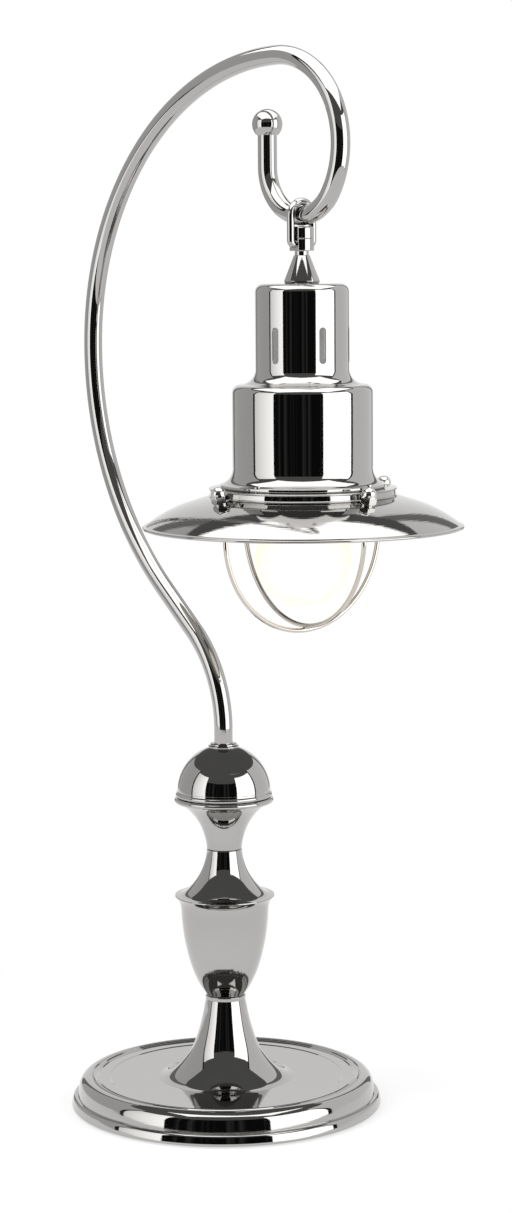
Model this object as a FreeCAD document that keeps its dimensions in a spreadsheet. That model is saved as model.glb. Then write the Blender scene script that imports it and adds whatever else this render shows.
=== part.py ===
import FreeCAD, Part
import math
import os
import re
import Sketcher

# A tabletop searchlight lamp: a weighted round foot, a turned column with an urn and a dome,
# a bent tube arm, and a head that hangs in a wire bail on the hooked end of the arm.
# Millimetres. The origin is on the table, on the column's axis. The arm lies in the XZ plane
# and its hook is on the +X side. Every piece is drawn up from its own foot.

os.makedirs("parts", exist_ok=True)
doc = FreeCAD.newDocument("searchlight_lamp")
V = FreeCAD.Vector

SIZES = {
    # Foot of the lamp.
    "base_rad": 101.5,       # widest radius, at the lower tier
    "edge_tuck": 3.0,        # how far the lower edge runs in under the lower tier
    "rim_lift": 0.5,         # lower edge of the shell above the table
    "tier_tall": 8.0,        # top of the lower tier
    "step_in": 4.7,          # upper tier's wall, in from the widest radius
    "wall_top": 14.8,        # where the upper wall turns into the shoulder
    "shoulder_in": 8.8,      # width of the rounded shoulder
    "shoulder_tall": 21.0,   # highest line of the shoulder
    "disc_top": 19.4,        # top of the flat disc
    "shell_wall": 1.5,
    "pad_thick": 1.5,
    "cover_thick": 1.0,
    "weight_gap": 0.4,       # weight to shell wall
    "pocket_rad": 24.0,      # room under the weight for the nut and the cable's bend
    "web_thick": 3.2,        # middle of the weight, that the nut pulls on
    "trench_wide": 18.0,     # cable trench in the weight
    "grommet_rad": 4.2,
    "grommet_bore": 2.9,
    "grommet_head": 5.4,
    "grommet_high": 8.2,     # height of the cable inlet
    "grommet_out": 3.0,      # how far its head stands out of the shell
    "block_long": 22.0,      # terminal block
    "block_wide": 14.0,
    "block_tall": 9.5,
    "block_near": 40.0,      # its near end, from the axis
    "screw_rad": 2.0,
    "screw_head": 3.6,
    "screw_head_tall": 1.8,
    "cover_screw_at": 62.0,
    "cover_screw_long": 9.0,
    # Rod and nuts that hold the column together.
    "fit_gap": 0.05,         # screwed and pushed fits
    "rod_rad": 5.0,
    "rod_bore": 3.5,
    "rod_dip": 4.4,          # rod's lower end below the weight's web
    "nut_wide": 14.0,
    "nut_tall": 3.2,
    "washer_rad": 9.0,
    "washer_thick": 0.9,
    # Column, from the foot up.
    "spun_wall": 1.2,
    "trumpet_rad": 44.0,
    "trumpet_tall": 54.1,
    "trumpet_top": 12.5,
    "trumpet_waist": 22.2,
    "waist_high": 17.8,
    "foot_sweep": 37.9,
    "body_sweep": 133.0,
    "urn_tall": 66.5,
    "urn_rad": 28.5,
    "urn_rim": 32.3,
    "urn_low_rad": 18.6,
    "urn_low": 10.5,
    "urn_sweep": 110.0,
    "neck_tall": 30.5,
    "neck_rad": 11.2,
    "neck_sweep": 28.8,
    "cup_tall": 34.4,
    "cup_sweep": 36.0,
    "cup_mid": 13.1,
    "bead_tall": 3.6,
    "cup_bead": 32.3,
    "dome_bead": 31.4,
    "dome_rad": 30.3,
    "dome_rise": 28.5,       # dome's flat top above the middle of its sphere
    "collar_rad": 9.9,
    "collar_tall": 3.0,
    # Arm.
    "tube_rad": 6.0,
    "tube_bore": 4.5,
    "tube_dip": 9.0,         # tube's end below the dome's top
    "thread_run": 16.0,      # rod screwed into the tube
    "foot_run": 21.0,        # straight foot of the tube
    "foot_bend": 83.0,
    "foot_turn": 48.0,
    "back_run": 39.5,
    "rear_bend": 209.0,
    "rear_turn": 51.0,
    "top_bend": 183.0,
    "top_turn": 86.0,
    "crook_bend": 55.0,
    "crook_turn": 124.0,
    "hook_bend": 30.4,
    "stem_run": 19.5,
    "ball_rad": 9.5,
    "ball_seat": 6.6,        # radius of the flat under the ball
    "spigot_run": 10.0,
    "exit_rad": 3.6,         # cable hole under the hook
    # Bail and the lug that hangs in it.
    "wire_rad": 2.4,
    "leg_pitch": 18.5,
    "arch_gap": 0.3,
    "pin_gap": 0.05,
    "pin_run": 3.1,          # pin in the lug's bore
    "bail_bend": 2.6,
    "lug_rad": 7.6,
    "lug_half": 6.5,         # half width over the lug's flats
    "lug_tall": 7.6,
    "pin_drop": 3.7,         # pins below the lug's top
    "bush_tall": 7.3,
    "bush_gap": 0.6,         # bush to tube
    "bush_chamfer": 1.0,
    "shank_rad": 4.35,
    "shank_tall": 2.6,
    "stem_rad": 4.0,
    "cable_rad": 1.7,
    "cable_bore": 2.6,
    # Head.
    "cone_tall": 17.5,
    "cone_top": 4.85,
    "cone_foot": 11.1,
    "cone_edge": 1.6,
    "cap_rad": 29.15,
    "cap_corner": 5.0,
    "cap_upper": 53.6,       # height of the upper drum, corner and all
    "drum_rad": 43.8,
    "drum_tall": 59.5,       # lower drum's straight wall ends this far above the ring
    "cap_rise": 13.1,        # from there to the upper drum's straight wall
    "cap_turn_in": 5.0,      # where the shoulder turns from round to hollow
    "cap_turn_up": 4.6,
    "skirt_rad": 51.6,
    "skirt_tall": 13.5,
    "slot_wide": 4.6,
    "slot_long": 22.4,
    "slot_low": 77.5,        # slots' lower end above the ring
    "slot_turn": 11.6,
    "ring_rad": 58.8,
    "ring_bore": 46.0,
    "ring_tall": 5.2,
    "ring_screw_at": 49.0,
    "dish_rad": 100.6,
    "dish_tall": 20.3,
    "dish_wall": 1.0,
    "dish_cone": 71.0,       # end of the flat-sided part that the studs go through
    "dish_sweep": 82.0,
    "dish_open": 46.0,
    "stud_at": 63.4,
    "stud_tilt": 17.0,
    "stud_turn": 84.0,
    "stud_rad": 3.0,
    "stud_in": 7.0,          # stud's length inside the dish
    "stud_collar": 4.5,
    "collar_thick": 1.5,
    "collar_gap": 0.2,       # stud's collar to the dish
    "wire_bore": 4.0,        # depth of the wire's bore in the stud
    "thread_gap": 0.3,       # end of the stud to the end of the nut's thread
    "stud_washer": 4.5,      # clears the ring's lower bead
    "acorn_wide": 9.6,
    "acorn_hex": 5.2,
    "acorn_rad": 4.6,
    "acorn_thread": 8.0,
    "guard_wire": 1.5,
    "guard_rad": 60.3,
    "guard_low": 65.8,       # lowest point of the guard below the dish's rim
    "guard_bend": 15.0,
    # Inside the head.
    "stem_run_in": 14.0,     # lug's stem below the cap's top
    "cap_nut_wide": 13.0,
    "cap_nut_tall": 4.0,
    "coupler_rad": 7.0,
    "coupler_tall": 22.0,
    "coupler_grip": 7.0,
    "holder_rad": 19.5,
    "holder_wall": 4.6,
    "skirt_long": 37.0,
    "holder_top_tall": 17.0,
    "insert_tall": 7.0,
    # Bulb.
    "bulb_rad": 30.0,
    "bulb_drop": 39.4,       # bulb's middle, below the ring's foot
    "glass_wall": 0.8,
    "bulb_neck": 14.0,
    "bulb_neck_high": 37.0,  # where the glass enters its cap, above the bulb's middle
    "screw_cap_rad": 13.1,
    "screw_cap_tall": 23.0,
    "pip_rad": 4.6,
    "pip_tall": 1.4,
}

sheet = doc.addObject("Spreadsheet::Sheet", "Sizes")
for row, (name, size) in enumerate(SIZES.items(), start=1):
    sheet.set("A%d" % row, name)
    sheet.set("B%d" % row, str(size))
    sheet.setAlias("B%d" % row, name)
doc.recompute()

places = doc.addObject("App::VarSet", "Places")


def bound(text):
    """Point the words of a formula at the sheet and at the worked-out places."""
    def word(match):
        name = match.group(0)
        if name in SIZES:
            return "Sizes." + name
        if name in places.PropertiesList:
            return "Places." + name
        return name
    return re.sub(r"[a-z_]+", word, text)


def number(text):
    """The value of a formula, in millimetres or degrees."""
    answer = sheet.evalExpression(bound(text))
    return float(getattr(answer, "Value", answer))


def place(name, text):
    """Keep a level or a position that follows from the sizes."""
    formula = bound(text)
    places.addProperty("App::PropertyFloat", name, "Places")
    places.setExpression(name, formula)
    places.recompute()


# Levels of the foot and the column.
place("shell_under", "disc_top - shell_wall")
place("cover_low", "pad_thick")
place("weight_low", "pad_thick + cover_thick")
place("web_low", "shell_under - web_thick")
place("rod_low", "web_low - rod_dip")
place("wall_rad", "base_rad - step_in")
place("trumpet_low", "disc_top")
place("urn_foot", "trumpet_low + trumpet_tall")
place("neck_foot", "urn_foot + urn_tall")
place("cup_foot", "neck_foot + neck_tall")
place("dome_foot", "cup_foot + cup_tall")
place("dome_top", "dome_foot + bead_tall + dome_rise")
place("tube_foot", "dome_top - tube_dip")

# The arm's path, from its foot: a bend to the rear, a straight run, three bends forward and
# over, and the hook. Each centre lies square to the run before it.
place("foot_end_x", "foot_bend * (cos(foot_turn) - 1)")
place("foot_end_z", "foot_run + foot_bend * sin(foot_turn)")
place("rear_x", "foot_end_x - back_run * sin(foot_turn)")
place("rear_z", "foot_end_z + back_run * cos(foot_turn)")
place("turn_two", "foot_turn - rear_turn")
place("turn_three", "turn_two - top_turn")
place("turn_four", "turn_three - crook_turn")
place("rear_end_x", "rear_x + rear_bend * (cos(foot_turn) - cos(turn_two))")
place("rear_end_z", "rear_z + rear_bend * (sin(foot_turn) - sin(turn_two))")
place("top_end_x", "rear_end_x + top_bend * (cos(turn_two) - cos(turn_three))")
place("top_end_z", "rear_end_z + top_bend * (sin(turn_two) - sin(turn_three))")
place("crook_end_x", "top_end_x + crook_bend * (cos(turn_three) - cos(turn_four))")
place("crook_end_z", "top_end_z + crook_bend * (sin(turn_three) - sin(turn_four))")
place("hang_x", "crook_end_x + hook_bend * cos(turn_four)")
place("hook_mid_z", "crook_end_z + hook_bend * sin(turn_four)")
place("stem_x", "hang_x - hook_bend")
place("hang_z", "tube_foot + hook_mid_z - hook_bend")
place("tube_end", "tube_foot + hook_mid_z + stem_run")

# Levels of the head, down from the tube that it hangs on.
place("bush_top", "hang_z - tube_rad - bush_gap")
place("lug_top", "bush_top - bush_tall")
place("pivot_z", "lug_top - pin_drop")
place("lug_foot", "lug_top - lug_tall")
place("cone_high", "lug_foot - shank_tall")
place("cap_top", "cone_high - cone_tall")
place("ring_top", "cap_top - cap_upper - (drum_tall + cap_rise)")
place("ring_foot", "ring_top - ring_tall")
place("dish_foot", "ring_foot - dish_tall")
place("stud_z", "dish_tall - (stud_at - ring_rad) * tan(stud_tilt)")
place("cap_tall", "cap_top - ring_top")
place("stem_low", "cap_top - stem_run_in")
place("coupler_low", "stem_low + coupler_grip - coupler_tall")
place("bulb_mid", "ring_foot - bulb_drop")
place("glass_top", "bulb_mid + bulb_neck_high")
place("pip_low", "glass_top + screw_cap_tall")
place("holder_low", "glass_top - 2")
place("holder_mid", "holder_low + skirt_long")
place("insert_low", "holder_mid - insert_tall")
place("holder_rod_low", "holder_mid + holder_top_tall - 8")


def plane_of(body, role):
    """One of a body's own three planes."""
    return [flat for flat in body.Origin.OriginFeatures if flat.Role == role][0]


def sketch_on(body, role, name):
    """An empty sketch on one of the body's own planes."""
    sketch = body.newObject("Sketcher::SketchObject", name)
    sketch.AttachmentSupport = [(plane_of(body, role), "")]
    sketch.MapMode = "FlatFace"
    return sketch


def arc_through(start, end, radius, left):
    """The short arc between two points, with its middle on the left or the right of the way."""
    chord = end.sub(start)
    half = chord.Length / 2
    away = math.sqrt(max(radius * radius - half * half, 0.0))
    side = V(-chord.y, chord.x, 0).normalize().multiply(away if left else -away)
    middle = start.add(end).multiply(0.5).add(side)
    turn = [math.atan2(spot.y - middle.y, spot.x - middle.x) for spot in (start, end)]
    if not left:
        turn.reverse()
    return Part.ArcOfCircle(Part.Circle(middle, V(0, 0, 1), radius), turn[0], turn[1])


def pin_down(sketch, edge, end, across, up):
    """Hold one end of an edge at two formulas, measured from the sketch's origin."""
    for kind, text, axis in (("DistanceX", across, -2), ("DistanceY", up, -1)):
        if text == "0":
            sketch.addConstraint(Sketcher.Constraint("PointOnObject", edge, end, axis))
            continue
        rule = Sketcher.Constraint(kind, -1, 1, edge, end, number(text))
        index = sketch.addConstraint(rule)
        sketch.setExpression("Constraints[%d]" % index, bound(text))


def draw(sketch, steps, closed=True):
    """Draw lines and arcs from spot to spot. A step is (across, up) for a line to that spot,
    or (across, up, radius, "left" or "right") for an arc whose middle is on that side."""
    spots = [V(number(step[0]), number(step[1]), 0) for step in steps]
    first = 0 if closed else 1
    ends = []
    for index in range(first, len(steps)):
        step = steps[index]
        start = spots[index - 1]
        if len(step) == 2:
            edge = sketch.addGeometry(Part.LineSegment(start, spots[index]), False)
            ends.append((edge, 1, 2))
            continue
        left = step[3] == "left"
        curve = arc_through(start, spots[index], number(step[2]), left)
        edge = sketch.addGeometry(curve, False)
        rule = sketch.addConstraint(Sketcher.Constraint("Radius", edge, number(step[2])))
        sketch.setExpression("Constraints[%d]" % rule, bound(step[2]))
        ends.append((edge, 1, 2) if left else (edge, 2, 1))
    for index, (edge, tail, tip) in enumerate(ends):
        before = ends[index - 1]
        if closed or index > 0:
            sketch.addConstraint(Sketcher.Constraint("Coincident", before[0], before[2], edge, tail))
        pin_down(sketch, edge, tip, steps[first + index][0], steps[first + index][1])
    if not closed:
        pin_down(sketch, ends[0][0], ends[0][1], steps[0][0], steps[0][1])
    return sketch


def seat(body, across, up, turn=None):
    """Stand a body on its foot, and turn it about its own upright axis where it has to face a way."""
    if turn:
        body.Placement = FreeCAD.Placement(V(0, 0, 0), FreeCAD.Rotation(V(0, 0, 1), 10))
        body.setExpression(".Placement.Rotation.Angle", bound(turn))
    if across != "0":
        body.setExpression(".Placement.Base.x", bound(across))
    if up != "0":
        body.setExpression(".Placement.Base.z", bound(up))
    return body


def new_body(label):
    """An empty body whose label names its file."""
    body = doc.addObject("PartDesign::Body", label)
    body.Label = label
    return body


def turned(label, across, up, steps, turn=None):
    """A turned or spun piece: half its section, spun about the upright axis."""
    body = new_body(label)
    sketch = draw(sketch_on(body, "XZ_Plane", label + "_section"), steps)
    spin = body.newObject("PartDesign::Revolution", label + "_spin")
    spin.Profile = sketch
    spin.ReferenceAxis = (sketch, ["V_Axis"])
    spin.Angle = 360
    return seat(body, across, up, turn)


def circles(sketch, radii):
    """Circles about the sketch's origin."""
    for text in radii:
        edge = sketch.addGeometry(Part.Circle(V(0, 0, 0), V(0, 0, 1), number(text)), False)
        sketch.addConstraint(Sketcher.Constraint("Coincident", edge, 3, -1, 1))
        rule = sketch.addConstraint(Sketcher.Constraint("Radius", edge, number(text)))
        sketch.setExpression("Constraints[%d]" % rule, bound(text))
    return sketch


def swept(body, path_role, steps, profile_role, radii):
    """A round wire or tube along lines and arcs that start at the body's origin."""
    path = draw(sketch_on(body, path_role, body.Label + "_path"), steps, closed=False)
    ring = circles(sketch_on(body, profile_role, body.Label + "_round"), radii)
    pipe = body.newObject("PartDesign::AdditivePipe", body.Label + "_pipe")
    pipe.Profile = ring
    pipe.Spine = path
    pipe.Transition = "Transformed"
    return pipe


def pocket(body, sketch, depth, name, both=False, back=False):
    """Cut a sketch's outline out of a body, and make sure that something was cut."""
    doc.recompute()
    before = body.Shape.Volume
    cut = body.newObject("PartDesign::Pocket", name)
    cut.Profile = sketch
    cut.Type = "Length"
    cut.setExpression("Length", bound(depth))
    cut.Midplane = both
    cut.Reversed = back
    doc.recompute()
    if body.Shape.Volume > before - 0.01:
        raise ValueError(name + " cuts nothing")
    return cut


def around(body, feature, count, name):
    """Repeat a feature evenly about the body's upright axis."""
    ring = body.newObject("PartDesign::PolarPattern", name)
    ring.Originals = [feature]
    ring.Axis = (plane_of(body, "Z_Axis"), [""])
    ring.Angle = 360
    ring.Occurrences = count
    body.Tip = ring
    doc.recompute()
    return ring


def drilled(body, radius, across, up, reach, count, name, tilt=None):
    """A ring of round holes, each through a wall that may lean outwards."""
    sketch = sketch_on(body, "XY_Plane", name + "_outline")
    sketch.AttachmentOffset = FreeCAD.Placement(V(0, 0, 0), FreeCAD.Rotation(V(0, 1, 0), 10))
    sketch.setExpression(".AttachmentOffset.Base.x", bound(across))
    sketch.setExpression(".AttachmentOffset.Base.z", bound(up))
    sketch.setExpression(".AttachmentOffset.Rotation.Angle", bound(tilt) if tilt else "0")
    circles(sketch, [radius])
    cut = pocket(body, sketch, reach, name, both=True)
    return around(body, cut, count, name + "_ring")


def hexagon(body, flats, tall, bore, name):
    """A six-sided pad with a round bore."""
    sketch = sketch_on(body, "XY_Plane", name + "_outline")
    corners = [(flats + " / sqrt(3) * cos(%d)" % turn, flats + " / sqrt(3) * sin(%d)" % turn)
               for turn in range(30, 390, 60)]
    draw(sketch, corners)
    if bore:
        circles(sketch, [bore])
    pad = body.newObject("PartDesign::Pad", name)
    pad.Profile = sketch
    pad.setExpression("Length", bound(tall))
    return body


def ring_of(label, pattern, spots):
    """Copies of one piece as separate solids in one node."""
    doc.recompute()
    copies = []
    for spot in spots:
        copy = pattern.Shape.copy()
        copy.Placement = spot
        copies.append(copy)
    group = doc.addObject("Part::Feature", label)
    group.Label = label
    group.Shape = Part.makeCompound(copies)
    return group


def spots_about(across, up, at, high, turn, count, tilt=0.0):
    """Places on a circle, each leaning outwards by the tilt."""
    found = []
    for index in range(count):
        way = FreeCAD.Rotation(V(0, 0, 1), turn + 360.0 * index / count)
        lean = way.multiply(FreeCAD.Rotation(V(0, 1, 0), tilt))
        spot = way.multVec(V(at, 0, high)).add(V(across, 0, up))
        found.append(FreeCAD.Placement(spot, lean))
    return found


# Felt pad under the foot, and the sheet that closes the shell.
base_pad = turned("base_pad", "0", "0", [
    ("0", "0"),
    ("base_rad - edge_tuck - shell_wall", "0"),
    ("base_rad - edge_tuck - shell_wall", "pad_thick"),
    ("0", "pad_thick"),
])
base_cover = turned("base_cover", "0", "cover_low", [
    ("0", "0"),
    ("wall_rad - shell_wall - weight_gap", "0"),
    ("wall_rad - shell_wall - weight_gap", "cover_thick"),
    ("0", "cover_thick"),
])
drilled(base_cover, "screw_rad + fit_gap", "cover_screw_at", "cover_thick / 2", "4 * cover_thick", 3,
        "screw_holes")

# Cast weight: a thick ring with a thin middle that the nut pulls on, a trench for the cable
# and the terminal block, and three screw holes for the cover.
base_weight = turned("base_weight", "0", "weight_low", [
    ("rod_rad + fit_gap", "web_low - weight_low"),
    ("pocket_rad", "web_low - weight_low"),
    ("pocket_rad", "0"),
    ("wall_rad - shell_wall - weight_gap", "0"),
    ("wall_rad - shell_wall - weight_gap", "wall_top - weight_low - 2"),
    ("wall_rad - shell_wall - shoulder_in", "shell_under - weight_low"),
    ("rod_rad + fit_gap", "shell_under - weight_low"),
])
trench = sketch_on(base_weight, "XY_Plane", "trench_outline")
draw(trench, [
    ("0 - wall_rad - 2", "0 - trench_wide / 2"),
    ("0 - pocket_rad / 2", "0 - trench_wide / 2"),
    ("0 - pocket_rad / 2", "trench_wide / 2"),
    ("0 - wall_rad - 2", "trench_wide / 2"),
])
pocket(base_weight, trench, "web_low - weight_low", "trench", back=True)
drilled(base_weight, "screw_rad + fit_gap", "cover_screw_at", "0", "2 * cover_screw_long", 3,
        "cover_screw_holes")
cover_screw = turned("cover_screw", "0", "0", [
    ("0", "0"),
    ("screw_rad", "0"),
    ("screw_rad", "cover_screw_long"),
    ("0", "cover_screw_long"),
])
cover_screws = ring_of("cover_screws", cover_screw, spots_about(
    0.0, number("cover_low"), number("cover_screw_at"), 0.0, 0.0, 3))

# Spun shell of the foot. The section runs up the outside and back along the inside.
base_shell = turned("base_shell", "0", "rim_lift", [
    ("base_rad - edge_tuck - 1", "0"),
    ("base_rad - edge_tuck", "0"),
    ("base_rad", "3.1", "3.3", "left"),
    ("base_rad - 4.3", "tier_tall - rim_lift", "4.6", "left"),
    ("wall_rad - 0.6", "tier_tall - rim_lift + 0.6"),
    ("wall_rad", "tier_tall - rim_lift + 1.4"),
    ("wall_rad", "wall_top - rim_lift"),
    ("wall_rad - shoulder_in", "shoulder_tall - rim_lift", "9.2", "left"),
    ("wall_rad - shoulder_in - 1", "shoulder_tall - rim_lift - 0.9"),
    ("wall_rad - shoulder_in - 3.2", "shoulder_tall - rim_lift - 1.1", "1.3", "left"),
    ("wall_rad - shoulder_in - 3.8", "disc_top - rim_lift"),
    ("rod_rad + fit_gap", "disc_top - rim_lift"),
    ("rod_rad + fit_gap", "shell_under - rim_lift"),
    ("wall_rad - shell_wall - shoulder_in", "shell_under - rim_lift"),
    ("wall_rad - shell_wall", "wall_top - rim_lift - 1", "9.6", "right"),
    ("wall_rad - shell_wall", "tier_tall - rim_lift - 0.4"),
    ("base_rad - shell_wall - 2.2", "tier_tall - rim_lift - 2.6"),
    ("base_rad - shell_wall", "3.1"),
])
inlet = sketch_on(base_shell, "YZ_Plane", "inlet_outline")
inlet_ring = inlet.addGeometry(Part.Circle(
    V(0, number("grommet_high - rim_lift"), 0), V(0, 0, 1), number("grommet_rad + fit_gap")), False)
inlet.addConstraint(Sketcher.Constraint("PointOnObject", inlet_ring, 3, -2))
high_rule = inlet.addConstraint(
    Sketcher.Constraint("DistanceY", -1, 1, inlet_ring, 3, number("grommet_high - rim_lift")))
inlet.setExpression("Constraints[%d]" % high_rule, bound("grommet_high - rim_lift"))
size_rule = inlet.addConstraint(Sketcher.Constraint("Radius", inlet_ring, number("grommet_rad + fit_gap")))
inlet.setExpression("Constraints[%d]" % size_rule, bound("grommet_rad + fit_gap"))
pocket(base_shell, inlet, "base_rad + 10", "inlet", back=False)

# Rubber grommet of the cable inlet, on the side away from the hook. It is drawn upright and
# laid on its side.
cable_grommet = new_body("cable_grommet")
grommet_section = draw(sketch_on(cable_grommet, "XZ_Plane", "grommet_section"), [
    ("grommet_bore", "0"),
    ("grommet_rad", "0"),
    ("grommet_rad", "base_rad - wall_rad + shell_wall + 4"),
    ("grommet_head", "base_rad - wall_rad + shell_wall + 4"),
    ("grommet_head", "base_rad - wall_rad + shell_wall + 3 + grommet_out"),
    ("grommet_head - 1", "base_rad - wall_rad + shell_wall + 4 + grommet_out"),
    ("grommet_bore", "base_rad - wall_rad + shell_wall + 4 + grommet_out"),
])
grommet_spin = cable_grommet.newObject("PartDesign::Revolution", "grommet_spin")
grommet_spin.Profile = grommet_section
grommet_spin.ReferenceAxis = (grommet_section, ["V_Axis"])
grommet_spin.Angle = 360
cable_grommet.Placement = FreeCAD.Placement(V(0, 0, 0), FreeCAD.Rotation(V(0, 1, 0), -90))
cable_grommet.setExpression(".Placement.Base.x", bound("0 - (wall_rad - shell_wall - 4)"))
cable_grommet.setExpression(".Placement.Base.z", bound("grommet_high"))

# Terminal block in the trench, with its two clamping screws.
terminal_block = doc.addObject("Part::Box", "terminal_block")
terminal_block.setExpression("Length", bound("block_long"))
terminal_block.setExpression("Width", bound("block_wide"))
terminal_block.setExpression("Height", bound("block_tall"))
terminal_block.setExpression(".Placement.Base.x", bound("0 - block_near - block_long"))
terminal_block.setExpression(".Placement.Base.y", bound("0 - block_wide / 2"))
terminal_block.setExpression(".Placement.Base.z", bound("web_low - block_tall"))
terminal_screw = turned("terminal_screw", "0", "0", [
    ("0", "0"),
    ("screw_rad - 0.5", "0"),
    ("screw_rad - 0.5", "1.2"),
    ("0", "1.2"),
])
doc.recompute()
terminal_screws = ring_of("terminal_screws", terminal_screw, [
    FreeCAD.Placement(V(-number("block_near + block_long / 2"), side * number("block_wide / 4"),
                        number("web_low - block_tall - 1.2")), FreeCAD.Rotation())
    for side in (-1, 1)])

# Threaded rod up the middle of the column, its nut and its washer.
tie_rod = turned("tie_rod", "0", "rod_low", [
    ("rod_bore", "0"),
    ("rod_rad", "0"),
    ("rod_rad", "tube_foot + thread_run - rod_low"),
    ("rod_bore", "tube_foot + thread_run - rod_low"),
])
base_washer = turned("base_washer", "0", "web_low - washer_thick", [
    ("rod_rad + fit_gap", "0"),
    ("washer_rad", "0"),
    ("washer_rad", "washer_thick"),
    ("rod_rad + fit_gap", "washer_thick"),
])
base_nut = seat(hexagon(new_body("base_nut"), "nut_wide", "nut_tall", "rod_rad + fit_gap", "nut_pad"),
                "0", "web_low - washer_thick - nut_tall")

# Trumpet foot of the column. Its thin edge lies on the disc.
trumpet_stem = turned("trumpet_stem", "0", "trumpet_low", [
    ("trumpet_rad - 2.2", "0"),
    ("trumpet_rad", "0"),
    ("trumpet_rad", "0.4"),
    ("trumpet_waist", "waist_high", "foot_sweep", "right"),
    ("trumpet_top + 0.8", "trumpet_tall - 4.5", "body_sweep", "right"),
    ("trumpet_top", "trumpet_tall - 2.4"),
    ("trumpet_top", "trumpet_tall"),
    ("rod_rad + fit_gap", "trumpet_tall"),
    ("rod_rad + fit_gap", "trumpet_tall - 2.4"),
    ("trumpet_top - spun_wall", "trumpet_tall - 2.4"),
    ("trumpet_top + 0.8 - spun_wall", "trumpet_tall - 5.5"),
    ("trumpet_waist - spun_wall - 0.3", "waist_high - 0.4", "body_sweep", "left"),
])

# Urn: a spun bowl with a flared rim.
urn_body = turned("urn_body", "0", "urn_foot", [
    ("rod_rad + fit_gap", "0"),
    ("trumpet_top", "0"),
    ("urn_low_rad", "urn_low", "30", "left"),
    ("urn_rad", "54.5", "urn_sweep", "left"),
    ("urn_rad", "urn_tall - 8"),
    ("urn_rim", "urn_tall - 0.8", "10.4", "right"),
    ("urn_rim", "urn_tall"),
    ("urn_rim - 2.2", "urn_tall"),
    ("urn_rad - spun_wall", "urn_tall - 7", "10.4", "left"),
    ("urn_rad - spun_wall", "54.5"),
    ("urn_low_rad - spun_wall - 0.4", "urn_low", "urn_sweep", "right"),
    ("trumpet_top - 1", "1.6", "30", "right"),
    ("rod_rad + fit_gap", "1.6"),
])

# Neck: a bell that closes the urn and narrows upwards.
neck_flare = turned("neck_flare", "0", "neck_foot", [
    ("urn_rim - 2.8", "0"),
    ("urn_rim", "0"),
    ("urn_rim", "0.6"),
    ("neck_rad + 2.2", "18.7", "neck_sweep", "right"),
    ("neck_rad", "neck_tall - 0.6", "110", "right"),
    ("neck_rad - 0.4", "neck_tall"),
    ("rod_rad + fit_gap", "neck_tall"),
    ("rod_rad + fit_gap", "neck_tall - 2"),
    ("neck_rad - spun_wall", "neck_tall - 2"),
    ("neck_rad + 2.2 - spun_wall", "18", "110", "left"),
])

# Cup under the dome, rolled into a bead at its rim.
dome_cup = turned("dome_cup", "0", "cup_foot", [
    ("rod_rad + fit_gap", "0"),
    ("neck_rad - 0.4", "0"),
    ("neck_rad", "0.6"),
    ("cup_mid", "9.5", "60", "right"),
    ("28", "cup_tall - 4.4", "cup_sweep", "right"),
    ("cup_bead - bead_tall / 2", "cup_tall - bead_tall"),
    ("cup_bead - bead_tall / 2", "cup_tall", "bead_tall / 2 + 0.001", "left"),
    ("cup_bead - bead_tall / 2 - 3", "cup_tall"),
    ("cup_mid - spun_wall", "10.2", "cup_sweep", "left"),
    ("neck_rad - spun_wall", "2", "60", "left"),
    ("rod_rad + fit_gap", "2"),
])

# Dome, with a second bead at its rim and a flat top for the collar.
dome = turned("dome", "0", "dome_foot", [
    ("dome_bead - bead_tall / 2 - 3", "0"),
    ("dome_bead - bead_tall / 2", "0"),
    ("dome_rad - 0.1", "bead_tall - 0.1", "bead_tall / 2 + 0.03", "left"),
    ("sqrt(dome_rad ^ 2 - dome_rise ^ 2)", "bead_tall + dome_rise", "dome_rad", "left"),
    ("tube_rad + fit_gap", "bead_tall + dome_rise"),
    ("tube_rad + fit_gap", "bead_tall + dome_rise - 2"),
    ("sqrt((dome_rad - spun_wall) ^ 2 - (dome_rise - 2) ^ 2)", "bead_tall + dome_rise - 2"),
    ("dome_rad - spun_wall", "bead_tall", "dome_rad - spun_wall", "right"),
])

# Collar that holds the arm on the dome.
collar_nut = turned("collar_nut", "0", "dome_top", [
    ("tube_rad + fit_gap", "0"),
    ("collar_rad - 0.7", "0"),
    ("collar_rad", "0.7", "0.7001", "left"),
    ("collar_rad - 0.7", "1.5", "0.9", "left"),
    ("collar_rad - 1.3", "1.6"),
    ("collar_rad - 1.3", "collar_tall - 0.6"),
    ("collar_rad - 1.9", "collar_tall", "0.6001", "left"),
    ("tube_rad + fit_gap", "collar_tall"),
])

# Arm: one bent tube. Its foot is bored out for the rod, and a hole under the hook lets the
# cable down into the head.
ARM_PATH = [
    ("0", "0"),
    ("0", "foot_run"),
    ("foot_end_x", "foot_end_z", "foot_bend", "left"),
    ("rear_x", "rear_z"),
    ("rear_end_x", "rear_end_z", "rear_bend", "right"),
    ("top_end_x", "top_end_z", "top_bend", "right"),
    ("crook_end_x", "crook_end_z", "crook_bend", "right"),
]
arm_tube = new_body("arm_tube")
swept(arm_tube, "XZ_Plane", ARM_PATH + [
    ("hang_x", "hook_mid_z - hook_bend", "hook_bend", "right"),
    ("stem_x", "hook_mid_z", "hook_bend", "right"),
    ("stem_x", "hook_mid_z + stem_run"),
], "XY_Plane", ["tube_rad", "tube_bore"])
thread_bore = circles(sketch_on(arm_tube, "XY_Plane", "thread_bore_outline"), ["rod_rad + fit_gap"])
pocket(arm_tube, thread_bore, "thread_run + 2", "thread_bore", back=True)
exit_outline = sketch_on(arm_tube, "XY_Plane", "exit_outline")
exit_ring = exit_outline.addGeometry(
    Part.Circle(V(number("hang_x"), 0, 0), V(0, 0, 1), number("exit_rad")), False)
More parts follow.
